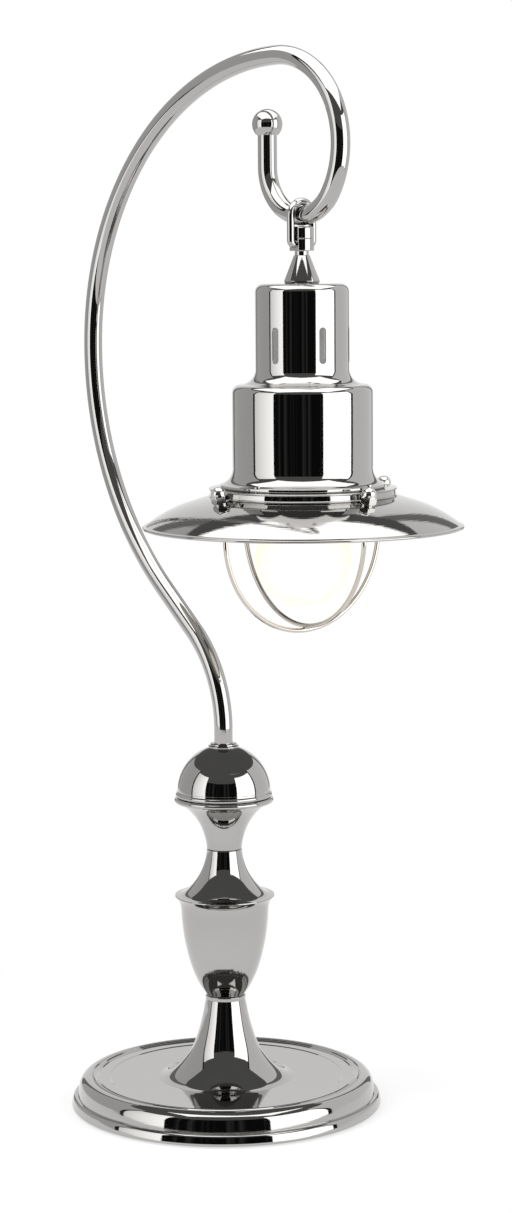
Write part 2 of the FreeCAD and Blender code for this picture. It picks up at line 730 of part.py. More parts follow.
exit_outline.addConstraint(Sketcher.Constraint("PointOnObject", exit_ring, 3, -1))
exit_place = exit_outline.addConstraint(
    Sketcher.Constraint("DistanceX", -1, 1, exit_ring, 3, number("hang_x")))
exit_outline.setExpression("Constraints[%d]" % exit_place, bound("hang_x"))
exit_size = exit_outline.addConstraint(Sketcher.Constraint("Radius", exit_ring, number("exit_rad")))
exit_outline.setExpression("Constraints[%d]" % exit_size, bound("exit_rad"))
pocket(arm_tube, exit_outline, "hook_mid_z - hook_bend", "cable_exit", back=True)
seat(arm_tube, "0", "tube_foot")

# Ball that closes the end of the hook, on a spigot in the tube.
place("ball_high", "spigot_run + sqrt(ball_rad ^ 2 - ball_seat ^ 2)")
hook_ball = turned("hook_ball", "stem_x", "tube_end - spigot_run", [
    ("0", "0"),
    ("tube_bore - fit_gap", "0"),
    ("tube_bore - fit_gap", "spigot_run"),
    ("ball_seat", "spigot_run"),
    ("ball_rad", "ball_high", "ball_rad", "left"),
    ("0", "ball_high + ball_rad", "ball_rad", "left"),
])

# Cable inside the lamp: from the terminal block along the trench, up the rod and round the
# arm, then down through the hole under the hook. The bend into the rod and the bend out of
# the tube are as large as the room leaves.
place("bend_in", "8.5")
place("cable_z", "web_low - block_tall + cable_rad + 0.1")
place("cable_up", "tube_foot - cable_z")
place("tuck", "5.5")
place("tight_x", "crook_end_x + (hook_bend - tuck) * cos(turn_four)")
place("tight_mid_z", "crook_end_z + (hook_bend - tuck) * sin(turn_four)")
place("drop_bend", "tight_x - hang_x")
arm_cable = new_body("arm_cable")
CABLE_PATH = [
    ("0", "0"),
    ("block_near - bend_in", "0"),
    ("block_near", "bend_in", "bend_in", "left"),
]
for step in ARM_PATH[1:]:
    CABLE_PATH.append((step[0] + " + block_near", step[1] + " + cable_up") + tuple(step[2:]))
CABLE_PATH += [
    ("tight_x + block_near", "tight_mid_z - hook_bend + tuck + cable_up", "hook_bend - tuck", "right"),
    ("hang_x + block_near", "tight_mid_z - hook_bend + tuck + cable_up - drop_bend", "drop_bend", "left"),
    ("hang_x + block_near", "hook_mid_z - hook_bend - tube_rad + cable_up"),
]
swept(arm_cable, "XZ_Plane", CABLE_PATH, "YZ_Plane", ["cable_rad"])
seat(arm_cable, "0 - block_near", "cable_z")

# Bail: a bent wire over the tube, with both ends turned in to be the head's pins.
bail = new_body("bail")
place("pin_start", "lug_half - pin_run")
place("arch_z", "hang_z + tube_rad + arch_gap + wire_rad - leg_pitch / 2 - pivot_z")
bail_pipe = swept(bail, "YZ_Plane", [
    ("0 - pin_start", "0"),
    ("0 - (leg_pitch / 2 - bail_bend)", "0"),
    ("0 - leg_pitch / 2", "bail_bend", "bail_bend", "right"),
    ("0 - leg_pitch / 2", "arch_z"),
    ("0", "arch_z + leg_pitch / 2", "leg_pitch / 2", "right"),
    ("leg_pitch / 2", "arch_z", "leg_pitch / 2", "right"),
    ("leg_pitch / 2", "bail_bend"),
    ("leg_pitch / 2 - bail_bend", "0", "bail_bend", "right"),
    ("pin_start", "0"),
], "XZ_Plane", ["wire_rad"])
bail_pipe.Profile[0].setExpression(".AttachmentOffset.Base.z", bound("pin_start"))
seat(bail, "hang_x", "pivot_z")

# Lug: turned in one with its threaded stem, flattened on two sides and bored for the pins.
lug_block = turned("lug_block", "hang_x", "stem_low", [
    ("cable_bore", "0"),
    ("stem_rad", "0"),
    ("stem_rad", "cone_high - stem_low"),
    ("shank_rad", "cone_high - stem_low"),
    ("shank_rad", "lug_foot - stem_low"),
    ("lug_rad - 0.5", "lug_foot - stem_low"),
    ("lug_rad", "lug_foot - stem_low + 0.5"),
    ("lug_rad", "lug_top - stem_low - 0.4"),
    ("lug_rad - 0.4", "lug_top - stem_low"),
    ("cable_bore", "lug_top - stem_low"),
])


def flatten(body, low, high, name):
    """Mill two flats on the sides of a round block."""
    for side in (-1, 1):
        sketch = sketch_on(body, "YZ_Plane", name + ("_near" if side < 0 else "_far"))
        near = "%d * lug_half" % side
        far = "%d * (lug_rad + 1)" % side
        draw(sketch, [(near, low), (far, low), (far, high), (near, high)])
        pocket(body, sketch, "3 * lug_rad", sketch.Name + "_cut", both=True)


flatten(lug_block, "lug_foot - stem_low", "lug_top - stem_low + 1", "lug_flat")
pin_holes = sketch_on(lug_block, "XZ_Plane", "pin_holes_outline")
pin_ring = pin_holes.addGeometry(
    Part.Circle(V(0, number("pivot_z - stem_low"), 0), V(0, 0, 1), number("wire_rad + pin_gap")), False)
pin_holes.addConstraint(Sketcher.Constraint("PointOnObject", pin_ring, 3, -2))
pin_high = pin_holes.addConstraint(
    Sketcher.Constraint("DistanceY", -1, 1, pin_ring, 3, number("pivot_z - stem_low")))
pin_holes.setExpression("Constraints[%d]" % pin_high, bound("pivot_z - stem_low"))
pin_size = pin_holes.addConstraint(Sketcher.Constraint("Radius", pin_ring, number("wire_rad + pin_gap")))
pin_holes.setExpression("Constraints[%d]" % pin_size, bound("wire_rad + pin_gap"))
pin_holes.AttachmentOffset = FreeCAD.Placement(V(0, 0, 3), FreeCAD.Rotation())
pin_holes.setExpression(".AttachmentOffset.Base.z", bound("pin_start - 0.1"))
first_hole = pocket(lug_block, pin_holes, "lug_rad", "pin_hole", back=True)
pin_pair = around(lug_block, first_hole, 2, "pin_pair")

# Bush between the lug and the tube, with the cable's bore.
cable_bush = turned("cable_bush", "hang_x", "lug_top", [
    ("cable_bore", "0"),
    ("lug_rad - 0.4", "0"),
    ("lug_rad", "0.4"),
    ("lug_rad", "bush_tall - bush_chamfer"),
    ("lug_rad - bush_chamfer", "bush_tall"),
    ("cable_bore", "bush_tall"),
])
flatten(cable_bush, "0", "bush_tall + 1", "bush_flat")

# Cone that the lug is screwed down on.
cone_finial = turned("cone_finial", "hang_x", "cap_top", [
    ("stem_rad + fit_gap", "0"),
    ("cone_foot - 0.6", "0"),
    ("cone_foot", "cone_edge"),
    ("cone_top", "cone_tall - 0.4"),
    ("cone_top - 0.4", "cone_tall"),
    ("stem_rad + fit_gap", "cone_tall"),
])

# Spun cap in two drums, with six vent slots and a flared foot.
head_cap = turned("head_cap", "hang_x", "ring_top", [
    ("ring_bore", "0"),
    ("skirt_rad - 0.8", "0"),
    ("skirt_rad", "0.9"),
    ("skirt_rad", "2.3"),
    ("drum_rad", "skirt_tall", "10.2", "right"),
    ("drum_rad", "drum_tall"),
    ("drum_rad - cap_turn_in", "drum_tall + cap_turn_up", "5.2", "left"),
    ("cap_rad", "drum_tall + cap_rise", "10", "right"),
    ("cap_rad", "cap_tall - cap_corner"),
    ("cap_rad - cap_corner", "cap_tall", "cap_corner", "left"),
    ("stem_rad + fit_gap", "cap_tall"),
    ("stem_rad + fit_gap", "cap_tall - spun_wall"),
    ("cap_rad - cap_corner", "cap_tall - spun_wall"),
    ("cap_rad - spun_wall", "cap_tall - cap_corner", "cap_corner - spun_wall", "right"),
    ("cap_rad - spun_wall", "drum_tall + cap_rise - 0.5"),
    ("drum_rad - cap_turn_in - 0.6", "drum_tall + cap_turn_up - spun_wall", "11", "left"),
    ("drum_rad - spun_wall", "drum_tall - 0.6", "4.2", "right"),
    ("drum_rad - spun_wall", "skirt_tall"),
    ("ring_bore", "3"),
], turn="slot_turn")
slot = sketch_on(head_cap, "XZ_Plane", "slot_outline")
draw(slot, [
    ("0 - slot_wide / 2", "slot_low + slot_wide / 2"),
    ("slot_wide / 2", "slot_low + slot_wide / 2", "slot_wide / 2 + 0.0001", "left"),
    ("slot_wide / 2", "slot_low + slot_long - slot_wide / 2"),
    ("0 - slot_wide / 2", "slot_low + slot_long - slot_wide / 2", "slot_wide / 2 + 0.0001", "left"),
])
slot_cut = pocket(head_cap, slot, "cap_rad + 5", "slot")
around(head_cap, slot_cut, 6, "slots")
drilled(head_cap, "screw_rad + fit_gap", "ring_screw_at", "0", "12", 4, "cap_screw_holes")

# Ring between the cap and the dish, with a groove between two beads.
flange_ring = turned("flange_ring", "hang_x", "ring_foot", [
    ("ring_bore", "0"),
    ("ring_rad - 0.8", "0"),
    ("ring_rad - 0.7", "1.4", "0.75", "left"),
    ("ring_rad - 1.4", "1.6"),
    ("ring_rad - 1.4", "ring_tall - 2.2"),
    ("ring_rad - 0.8", "ring_tall - 2"),
    ("ring_rad - 0.8", "ring_tall", "1.0001", "left"),
    ("ring_bore", "ring_tall"),
], turn="slot_turn")
drilled(flange_ring, "screw_rad + fit_gap", "ring_screw_at", "0", "4 * ring_tall", 4, "ring_screw_holes")

# Dish: a spun reflector with a rolled rim. The four studs go through its flat-sided part.
place("cone_drop", "(dish_cone - ring_rad) * tan(stud_tilt)")
dish = turned("dish", "hang_x", "dish_foot", [
    ("dish_open", "dish_tall - dish_wall"),
    ("ring_rad - 0.4", "dish_tall - dish_wall"),
    ("dish_cone - 0.3", "dish_tall - cone_drop - dish_wall"),
    ("dish_rad - 3.2", "1.5", "dish_sweep - dish_wall", "right"),
    ("dish_rad - 2", "0.4"),
    ("dish_rad - 0.9", "0"),
    ("dish_rad", "0.9", "1", "left"),
    ("dish_rad - 0.9", "1.9", "1", "left"),
    ("dish_rad - 2.4", "2.4"),
    ("dish_cone", "dish_tall - cone_drop", "dish_sweep", "left"),
    ("ring_rad", "dish_tall"),
    ("dish_open", "dish_tall"),
], turn="stud_turn")
drilled(dish, "stud_rad + fit_gap", "stud_at", "stud_z", "6", 4, "stud_holes", tilt="stud_tilt")
# The ring's screw holes stand at the cap's angles, so they are turned back from the studs'.
screw_holes = sketch_on(dish, "XY_Plane", "dish_screw_outline")
screw_holes.AttachmentOffset = FreeCAD.Placement(V(0, 0, 0), FreeCAD.Rotation(V(0, 0, 1), 10))
for index in range(4):
    turn = "slot_turn - stud_turn + %d" % (90 * index)
    spot = ("ring_screw_at * cos(%s)" % turn, "ring_screw_at * sin(%s)" % turn)
    middle = V(number(spot[0]), number(spot[1]), 0)
    ring = screw_holes.addGeometry(Part.Circle(middle, V(0, 0, 1), number("screw_rad")), False)
    pin_down(screw_holes, ring, 3, spot[0], spot[1])
    rule = screw_holes.addConstraint(Sketcher.Constraint("Radius", ring, number("screw_rad")))
    screw_holes.setExpression("Constraints[%d]" % rule, bound("screw_rad + fit_gap"))
screw_holes.AttachmentOffset = FreeCAD.Placement(V(0, 0, 0), FreeCAD.Rotation())
pocket(dish, screw_holes, "dish_tall", "dish_screw_holes", back=True)

# Four screws from inside the dish hold the dish, the ring and the cap together.
place("ring_screw_long", "dish_wall + ring_tall + 3.5")
ring_screw = turned("ring_screw", "0", "0", [
    ("0", "0"),
    ("screw_head", "0"),
    ("screw_head", "screw_head_tall"),
    ("screw_rad", "screw_head_tall"),
    ("screw_rad", "screw_head_tall + ring_screw_long"),
    ("0", "screw_head_tall + ring_screw_long"),
])
ring_screws = ring_of("ring_screws", ring_screw, spots_about(
    number("hang_x"), number("ring_foot - dish_wall - screw_head_tall"), number("ring_screw_at"),
    0.0, number("slot_turn"), 4))

# Studs of the guard, each with a collar inside the dish and a bore for the wire's end.
place("collar_up", "stud_in - dish_wall - collar_gap")
stud = turned("stud", "0", "0", [
    ("guard_wire + fit_gap", "0"),
    ("stud_rad", "0"),
    ("stud_rad", "collar_up - collar_thick"),
    ("stud_collar", "collar_up - collar_thick"),
    ("stud_collar", "collar_up"),
    ("stud_rad", "collar_up"),
    ("stud_rad", "stud_in + washer_thick + acorn_thread - thread_gap"),
    ("0", "stud_in + washer_thick + acorn_thread - thread_gap"),
    ("0", "wire_bore"),
    ("guard_wire + fit_gap", "wire_bore"),
])
guard_washer = turned("guard_washer", "0", "0", [
    ("stud_rad + fit_gap", "0"),
    ("stud_washer", "0"),
    ("stud_washer", "washer_thick"),
    ("stud_rad + fit_gap", "washer_thick"),
])
# Acorn nut: a hexagon with a dome on it.
acorn_nut = hexagon(new_body("acorn_nut"), "acorn_wide", "acorn_hex", None, "acorn_pad")
acorn_dome = draw(sketch_on(acorn_nut, "XZ_Plane", "acorn_dome_section"), [
    ("0", "acorn_hex - 1"),
    ("acorn_rad", "acorn_hex - 1"),
    ("acorn_rad", "acorn_hex + 0.6"),
    ("0", "acorn_hex + 0.6 + acorn_rad", "acorn_rad", "left"),
])
acorn_spin = acorn_nut.newObject("PartDesign::Revolution", "acorn_spin")
acorn_spin.Profile = acorn_dome
acorn_spin.ReferenceAxis = (acorn_dome, ["V_Axis"])
acorn_spin.Angle = 360
acorn_bore = circles(sketch_on(acorn_nut, "XY_Plane", "acorn_bore_outline"), ["stud_rad + fit_gap"])
pocket(acorn_nut, acorn_bore, "acorn_thread", "acorn_bore", back=True)


def at_studs(above):
    """The four stud places on the dish, moved along each stud from the dish's outer face."""
    tilt = number("stud_tilt")
    lean = math.radians(tilt)
    at = number("stud_at") + above * math.sin(lean)
    high = number("dish_foot + stud_z") + above * math.cos(lean)
    return spots_about(number("hang_x"), 0.0, at, high, number("stud_turn"), 4, tilt)


guard_studs = ring_of("guard_studs", stud, at_studs(-number("stud_in")))
guard_washers = ring_of("guard_washers", guard_washer, at_studs(0.0))
acorn_nuts = ring_of("acorn_nuts", acorn_nut, at_studs(number("washer_thick")))

# Wire guard: two hoops that cross below the bulb, one lying on the other. Half of each is
# swept from its lowest point and mirrored.
place("stud_end_x", "stud_at - (stud_in - 0.5) * sin(stud_tilt)")
place("stud_end_z", "dish_foot + stud_z - (stud_in - 0.5) * cos(stud_tilt)")
place("wire_tip_x", "stud_at - (stud_in - 3.8) * sin(stud_tilt)")
place("wire_tip_z", "dish_foot + stud_z - (stud_in - 3.8) * cos(stud_tilt)")
place("corner_z", "dish_foot + stud_z - (stud_at - guard_rad) / tan(stud_tilt)")
place("corner_run", "guard_bend * tan(stud_tilt / 2)")


def guard_hoop(label, lift, turn):
    """One hoop of the guard."""
    body = new_body(label)
    low = "dish_foot - guard_low + guard_wire + " + lift
    swept(body, "XZ_Plane", [
        ("0", "0"),
        ("guard_rad", "guard_rad", "guard_rad", "left"),
        ("guard_rad", "corner_z - corner_run - (%s)" % low),
        ("guard_rad + corner_run * sin(stud_tilt)",
         "corner_z + corner_run * cos(stud_tilt) - (%s)" % low, "guard_bend", "right"),
        ("wire_tip_x", "wire_tip_z - (%s)" % low),
    ], "YZ_Plane", ["guard_wire"])
    doc.recompute()
    mirror = body.newObject("PartDesign::Mirrored", label + "_halves")
    mirror.Originals = [body.Tip]
    mirror.MirrorPlane = (plane_of(body, "YZ_Plane"), [""])
    body.Tip = mirror
    return seat(body, "hang_x", low, turn)


guard_hoop_low = guard_hoop("guard_hoop_low", "0", "stud_turn")
guard_hoop_high = guard_hoop("guard_hoop_high", "2 * guard_wire + fit_gap", "stud_turn + 90")

# Under the cap's top: washer and nut on the lug's stem, and the coupler to the holder's rod.
cap_washer = turned("cap_washer", "hang_x", "cap_top - spun_wall - washer_thick", [
    ("stem_rad + fit_gap", "0"),
    ("washer_rad", "0"),
    ("washer_rad", "washer_thick"),
    ("stem_rad + fit_gap", "washer_thick"),
])
cap_nut = seat(hexagon(new_body("cap_nut"), "cap_nut_wide", "cap_nut_tall", "stem_rad + fit_gap",
                       "cap_nut_pad"),
               "hang_x", "cap_top - spun_wall - washer_thick - cap_nut_tall")
rod_coupler = turned("rod_coupler", "hang_x", "coupler_low", [
    ("rod_rad + fit_gap", "0"),
    ("coupler_rad", "0"),
    ("coupler_rad", "coupler_tall"),
    ("stem_rad + fit_gap", "coupler_tall"),
    ("stem_rad + fit_gap", "coupler_tall - coupler_grip"),
    ("rod_rad + fit_gap", "coupler_tall - coupler_grip"),
])
holder_rod = turned("holder_rod", "hang_x", "holder_rod_low", [
    ("rod_bore", "0"),
    ("rod_rad", "0"),
    ("rod_rad", "coupler_low + coupler_tall - coupler_grip - holder_rod_low"),
    ("rod_bore", "coupler_low + coupler_tall - coupler_grip - holder_rod_low"),
])

# Lampholder: a threaded top, a skirt, and an insert that carries the contacts.
holder_top = turned("holder_top", "hang_x", "holder_mid", [
    ("holder_rad - holder_wall", "0"),
    ("holder_rad", "0"),
    ("holder_rad", "4"),
    ("rod_rad + 4", "holder_top_tall - 3", "14", "left"),
    ("rod_rad + 4", "holder_top_tall"),
    ("rod_rad + fit_gap", "holder_top_tall"),
    ("rod_rad + fit_gap", "holder_top_tall - 8"),
    ("rod_rad + 2", "holder_top_tall - 8"),
    ("holder_rad - holder_wall", "3"),
])
holder_skirt = turned("holder_skirt", "hang_x", "holder_low", [
    ("screw_cap_rad + 1.6", "0"),
    ("holder_rad - 0.8", "0"),
    ("holder_rad", "0.8"),
    ("holder_rad", "skirt_long"),
    ("holder_rad - holder_wall", "skirt_long"),
    ("holder_rad - holder_wall", "skirt_long - insert_tall"),
    ("screw_cap_rad + 1.2", "skirt_long - insert_tall - 1"),
    ("screw_cap_rad + 1.2", "8"),
    ("screw_cap_rad + 1.6", "6"),
])
holder_insert = turned("holder_insert", "hang_x", "insert_low", [
    ("0", "0"),
    ("holder_rad - holder_wall - fit_gap", "0"),
    ("holder_rad - holder_wall - fit_gap", "insert_tall"),
    ("0", "insert_tall"),
])
thread_shell = turned("thread_shell", "hang_x", "holder_low + 8", [
    ("screw_cap_rad + 0.1", "0"),
    ("screw_cap_rad + 1.1", "0"),
    ("screw_cap_rad + 1.1", "insert_low - holder_low - 9.2"),
    ("screw_cap_rad + 0.1", "insert_low - holder_low - 9.2"),
])
centre_contact = doc.addObject("Part::Box", "centre_contact")
centre_contact.setExpression("Length", bound("2 * pip_rad"))
centre_contact.setExpression("Width", bound("pip_rad"))
centre_contact.setExpression("Height", bound("insert_low - pip_low - pip_tall"))
centre_contact.setExpression(".Placement.Base.x", bound("hang_x - pip_rad"))
centre_contact.setExpression(".Placement.Base.y", bound("0 - pip_rad / 2"))
centre_contact.setExpression(".Placement.Base.z", bound("pip_low + pip_tall"))

# Bulb: a glass globe with a neck, its screw cap, the insulator and the contact.
place("neck_join", "sqrt(bulb_rad ^ 2 - (bulb_neck + 2.6) ^ 2)")
place("inner_join", "sqrt((bulb_rad - glass_wall) ^ 2 - (bulb_neck + 2.6 - glass_wall) ^ 2)")
bulb_glass = turned("bulb_glass", "hang_x", "bulb_mid - bulb_rad", [
    ("0", "0"),
    ("bulb_rad", "bulb_rad", "bulb_rad", "left"),
    ("bulb_neck + 2.6", "bulb_rad + neck_join", "bulb_rad", "left"),
    ("bulb_neck - 1", "bulb_rad + bulb_neck_high - 3", "24", "right"),
    ("bulb_neck - 1", "bulb_rad + bulb_neck_high + 3"),
    ("bulb_neck - 1 - glass_wall", "bulb_rad + bulb_neck_high + 3"),
    ("bulb_neck - 1 - glass_wall", "bulb_rad + bulb_neck_high - 3"),
    ("bulb_neck + 2.6 - glass_wall", "bulb_rad + inner_join", "24 + glass_wall", "left"),
    ("bulb_rad - glass_wall", "bulb_rad", "bulb_rad - glass_wall", "right"),
    ("0", "glass_wall", "bulb_rad - glass_wall", "right"),
])
bulb_cap = turned("bulb_cap", "hang_x", "glass_top", [
    ("bulb_neck - 1 + fit_gap", "0 - 1"),
    ("bulb_neck + 0.2", "0 - 1"),
    ("bulb_neck + 0.2", "1"),
    ("screw_cap_rad", "2"),
    ("screw_cap_rad", "screw_cap_tall - 3"),
    ("screw_cap_rad - 3", "screw_cap_tall - 1"),
    ("screw_cap_rad - 3.6", "screw_cap_tall - 1.4"),
    ("screw_cap_rad - 0.5", "screw_cap_tall - 3.4"),
    ("screw_cap_rad - 0.5", "4"),
    ("bulb_neck - 1 + fit_gap", "3.2"),
])
bulb_insulator = turned("bulb_insulator", "hang_x", "pip_low - 1.4", [
    ("pip_rad - 1", "0"),
    ("screw_cap_rad - 3.7", "0"),
    ("pip_rad + 0.6", "1.4"),
    ("pip_rad - 1", "1.4"),
])
bulb_contact = turned("bulb_contact", "hang_x", "pip_low", [
    ("0", "0"),
    ("pip_rad", "0"),
    ("pip_rad - 1", "pip_tall"),
    ("0", "pip_tall"),
])
filament_stem = turned("filament_stem", "hang_x", "glass_top - 34", [
    ("0", "0"),
    ("2.2", "0"),
    ("2.6", "18"),
    ("bulb_neck - 1 - glass_wall", "34"),
    ("bulb_neck - 1 - glass_wall", "36"),
    ("0", "36"),
])
filament = turned("filament", "hang_x", "glass_top - 33", [
    ("2.4", "0"),
    ("9", "0"),
    ("9", "0.8"),
    ("2.4", "0.8"),
])

# Cable from the hole under the hook to the lampholder. It starts where the arm's cable ends.
place("head_cable_top", "hang_z - tube_rad - 0.3")
head_cable = turned("head_cable", "hang_x", "insert_low + insert_tall", [
    ("0", "0"),
    ("cable_rad", "0"),
    ("cable_rad", "head_cable_top - insert_low - insert_tall"),
    ("0", "head_cable_top - insert_low - insert_tall"),
])

NODES = [
    base_pad, base_cover, cover_screws, base_weight, base_shell, cable_grommet, terminal_block,
    terminal_screws, tie_rod, base_washer, base_nut, trumpet_stem, urn_body, neck_flare, dome_cup,
    dome, collar_nut, arm_tube, hook_ball, arm_cable, bail, lug_block, cable_bush, cone_finial,
    head_cap, flange_ring, dish, ring_screws, guard_studs, guard_washers, acorn_nuts,
    guard_hoop_low, guard_hoop_high, cap_washer, cap_nut, rod_coupler, holder_rod, holder_top,
    holder_skirt, holder_insert, thread_shell, centre_contact, bulb_glass, bulb_cap,
    bulb_insulator, bulb_contact, filament_stem, filament, head_cable,
]

doc.recompute()
faults = []
for item in doc.Objects:
    if "Invalid" in item.State or "Error" in item.State:
        faults.append("%s is %s" % (item.Name, item.State))
for item in NODES:
    if item.Shape.isNull() or not item.Shape.isValid() or not item.Shape.Solids:
        faults.append("%s has no valid solid" % item.Label)
if faults:
    raise ValueError("; ".join(faults))


def path_length(name):
    """Length of a swept piece's middle line."""
    return doc.getObject(name + "_path").Shape.Length


for item in (arm_cable, bail):
    radius = number("cable_rad" if item is arm_cable else "wire_rad")
    expected = math.pi * radius ** 2 * path_length(item.Label)
    print("%s: %.1f mm long, volume %.4f of section times length" % (
        item.Label, path_length(item.Label), item.Shape.Volume / expected))
print("arm cable's bends: %s" % ", ".join("%.1f" % number(name) for name in (
    "bend_in", "foot_bend", "rear_bend", "top_bend", "crook_bend", "hook_bend - tuck", "drop_bend")))

for item in NODES:
    item.Shape.exportStep("parts/%s.step" % item.Label)
for name in places.PropertiesList:
    if places.getGroupOfProperty(name) == "Places":
        print("%s %.3f" % (name, getattr(places, name)))
print("%d nodes" % len(NODES))
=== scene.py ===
import math

import bpy
import numpy as np
from mathutils import Matrix, Vector


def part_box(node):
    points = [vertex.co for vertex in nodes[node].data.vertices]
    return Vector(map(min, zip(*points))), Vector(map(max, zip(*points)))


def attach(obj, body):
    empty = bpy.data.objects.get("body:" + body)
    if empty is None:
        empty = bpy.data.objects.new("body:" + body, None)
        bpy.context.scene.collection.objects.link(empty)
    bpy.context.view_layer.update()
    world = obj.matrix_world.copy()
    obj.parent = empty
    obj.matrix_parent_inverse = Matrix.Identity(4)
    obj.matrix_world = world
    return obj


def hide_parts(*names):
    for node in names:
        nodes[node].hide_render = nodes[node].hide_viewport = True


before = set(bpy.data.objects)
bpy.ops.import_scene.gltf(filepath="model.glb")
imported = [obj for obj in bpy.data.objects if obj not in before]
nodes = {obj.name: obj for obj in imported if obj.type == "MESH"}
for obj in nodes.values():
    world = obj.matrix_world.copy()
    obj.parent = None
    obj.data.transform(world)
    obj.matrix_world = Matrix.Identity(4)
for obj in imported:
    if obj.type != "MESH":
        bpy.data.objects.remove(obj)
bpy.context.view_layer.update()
MM = 0.001


# The foot: a round plate spun from sheet steel in two tiers, with a rolled lower edge, a
# rounded shoulder and a double bead round a flat disc. It is plated and mirror polished.

def rounded(corners, steps=10):
    """Outline with its corners turned off. Each corner is (radius, height, fillet): the fillet's
    arc runs from one tangent point to the other, swept evenly about its middle."""
    line = np.array([corner[:2] for corner in corners], dtype=float)
    parts = []
    for index, (across, up, fillet) in enumerate(corners):
        here = line[index]
        if fillet <= 0 or index in (0, len(corners) - 1):
            parts.append(here[None, :])
            continue
        back = line[index - 1] - here
        ahead = line[index + 1] - here
        back /= np.linalg.norm(back)
        ahead /= np.linalg.norm(ahead)
        half = math.acos(max(-1.0, min(1.0, float(back @ ahead)))) / 2
        away = fillet / math.tan(half)
        middle = here + (back + ahead) / np.linalg.norm(back + ahead) * (fillet / math.sin(half))
        first = here + back * away - middle
        last = here + ahead * away - middle
        start = math.atan2(first[1], first[0])
        sweep = math.atan2(last[1], last[0]) - start
        sweep = (sweep + math.pi) % (2 * math.pi) - math.pi
        turn = start + sweep * np.linspace(0, 1, steps)
        parts.append(middle + fillet * np.column_stack([np.cos(turn), np.sin(turn)]))
    return np.vstack(parts)


def flowing(points, steps=8):
    """A smooth line through points: a natural cubic spline over the length of the chords."""
    spots = np.array(points, dtype=float)
    way = np.concatenate([[0], np.cumsum(np.linalg.norm(np.diff(spots, axis=0), axis=1))])
    gap = np.diff(way)
    size = len(spots)
    grid = np.eye(size)
    right = np.zeros((size, 2))
    inner = np.arange(1, size - 1)
    grid[inner, inner - 1] = gap[:-1]
    grid[inner, inner] = 2 * (gap[:-1] + gap[1:])
    grid[inner, inner + 1] = gap[1:]
    slope = np.diff(spots, axis=0) / gap[:, None]
    right[1:-1] = 6 * np.diff(slope, axis=0)
    bend = np.linalg.solve(grid, right)
    at = np.linspace(0, way[-1], (size - 1) * steps + 1)
    span = np.clip(np.searchsorted(way, at, side="right") - 1, 0, size - 2)
    near = (way[span + 1] - at)[:, None]
    far = (at - way[span])[:, None]
    wide = gap[span][:, None]
    return (bend[span] * near ** 3 + bend[span + 1] * far ** 3) / (6 * wide) \
        + (spots[span] / wide - bend[span] * wide / 6) * near \
        + (spots[span + 1] / wide - bend[span + 1] * wide / 6) * far


def ball_arc(middle_up, radius, first, last, middle_across=0.0, steps=40):
    """Arc of a circle in the section, from one height angle to another, in degrees."""
    turn = np.radians(np.linspace(first, last, steps))
    return np.column_stack([middle_across + radius * np.cos(turn), middle_up + radius * np.sin(turn)])


def stepped(steps, base=0.0, pitch=0.7):
    """Section line from spot to spot, over a base height. A step is (across, up) for a line to that
    spot, or (across, up, radius, side) for an arc whose middle is on the left, 1, or the right, -1."""
    line = [np.array([steps[0][:2]], dtype=float)]
    for before, step in zip(steps[:-1], steps[1:]):
        start, end = np.array(before[:2], dtype=float), np.array(step[:2], dtype=float)
        if len(step) == 2:
            line.append(end[None, :])
            continue
        chord = end - start
        half = np.linalg.norm(chord) / 2
        away = math.sqrt(max(step[2] ** 2 - half ** 2, 0.0)) * step[3] / (2 * half)
        middle = (start + end) / 2 + away * np.array([-chord[1], chord[0]])
        first, last = (math.atan2(spot[1] - middle[1], spot[0] - middle[0]) for spot in (start, end))
        sweep = (last - first + math.pi) % (2 * math.pi) - math.pi
        turn = first + sweep * np.linspace(0, 1, max(5, int(abs(sweep) * step[2] / pitch) + 2))[1:]
        line.append(middle + step[2] * np.column_stack([np.cos(turn), np.sin(turn)]))
    return np.vstack(line) + [0.0, base]


def eased(line, size=0.25, least=18.0):
    """Break the sharp corners of a section line: each is cut back on both sides and bridged by a
    short curve, point = (1-t)^2 before + 2t(1-t) corner + t^2 after."""
    line = np.asarray(line, dtype=float)
    parts = [line[:1]]
    for back, here, ahead in zip(line[:-2], line[1:-1], line[2:]):
        one, two = here - back, ahead - here
        long_one, long_two = np.linalg.norm(one), np.linalg.norm(two)
        bend = math.degrees(math.acos(max(-1.0, min(1.0, float(one @ two) / (long_one * long_two + 1e-12)))))
        if bend < least or min(long_one, long_two) < 1e-6:
            parts.append(here[None, :])
            continue
        reach = min(size, 0.4 * long_one, 0.4 * long_two)
        part = np.linspace(0, 1, 6)[:, None]
        start, end = here - one / long_one * reach, here + two / long_two * reach
        parts.append((1 - part) ** 2 * start + 2 * part * (1 - part) * here + part ** 2 * end)
    return np.vstack(parts + [line[-1:]])


def mesh_piece(name, spots, blocks, sharp=35.0):
    """A finished piece from an array of points and blocks of faces, each block with as many
    corners a face. It is smooth but for its real edges."""
    mesh = bpy.data.meshes.new(name)
    faces = []
    for block in blocks:
        faces += np.asarray(block).tolist()
    mesh.from_pydata(np.asarray(spots, dtype=float).tolist(), [], faces)
    mesh.validate()
    mesh.polygons.foreach_set("use_smooth", np.ones(len(mesh.polygons), dtype=bool))
    mesh.set_sharp_from_angle(angle=math.radians(sharp))
    piece = bpy.data.objects.new(name, mesh)
    bpy.context.scene.collection.objects.link(piece)
    return piece


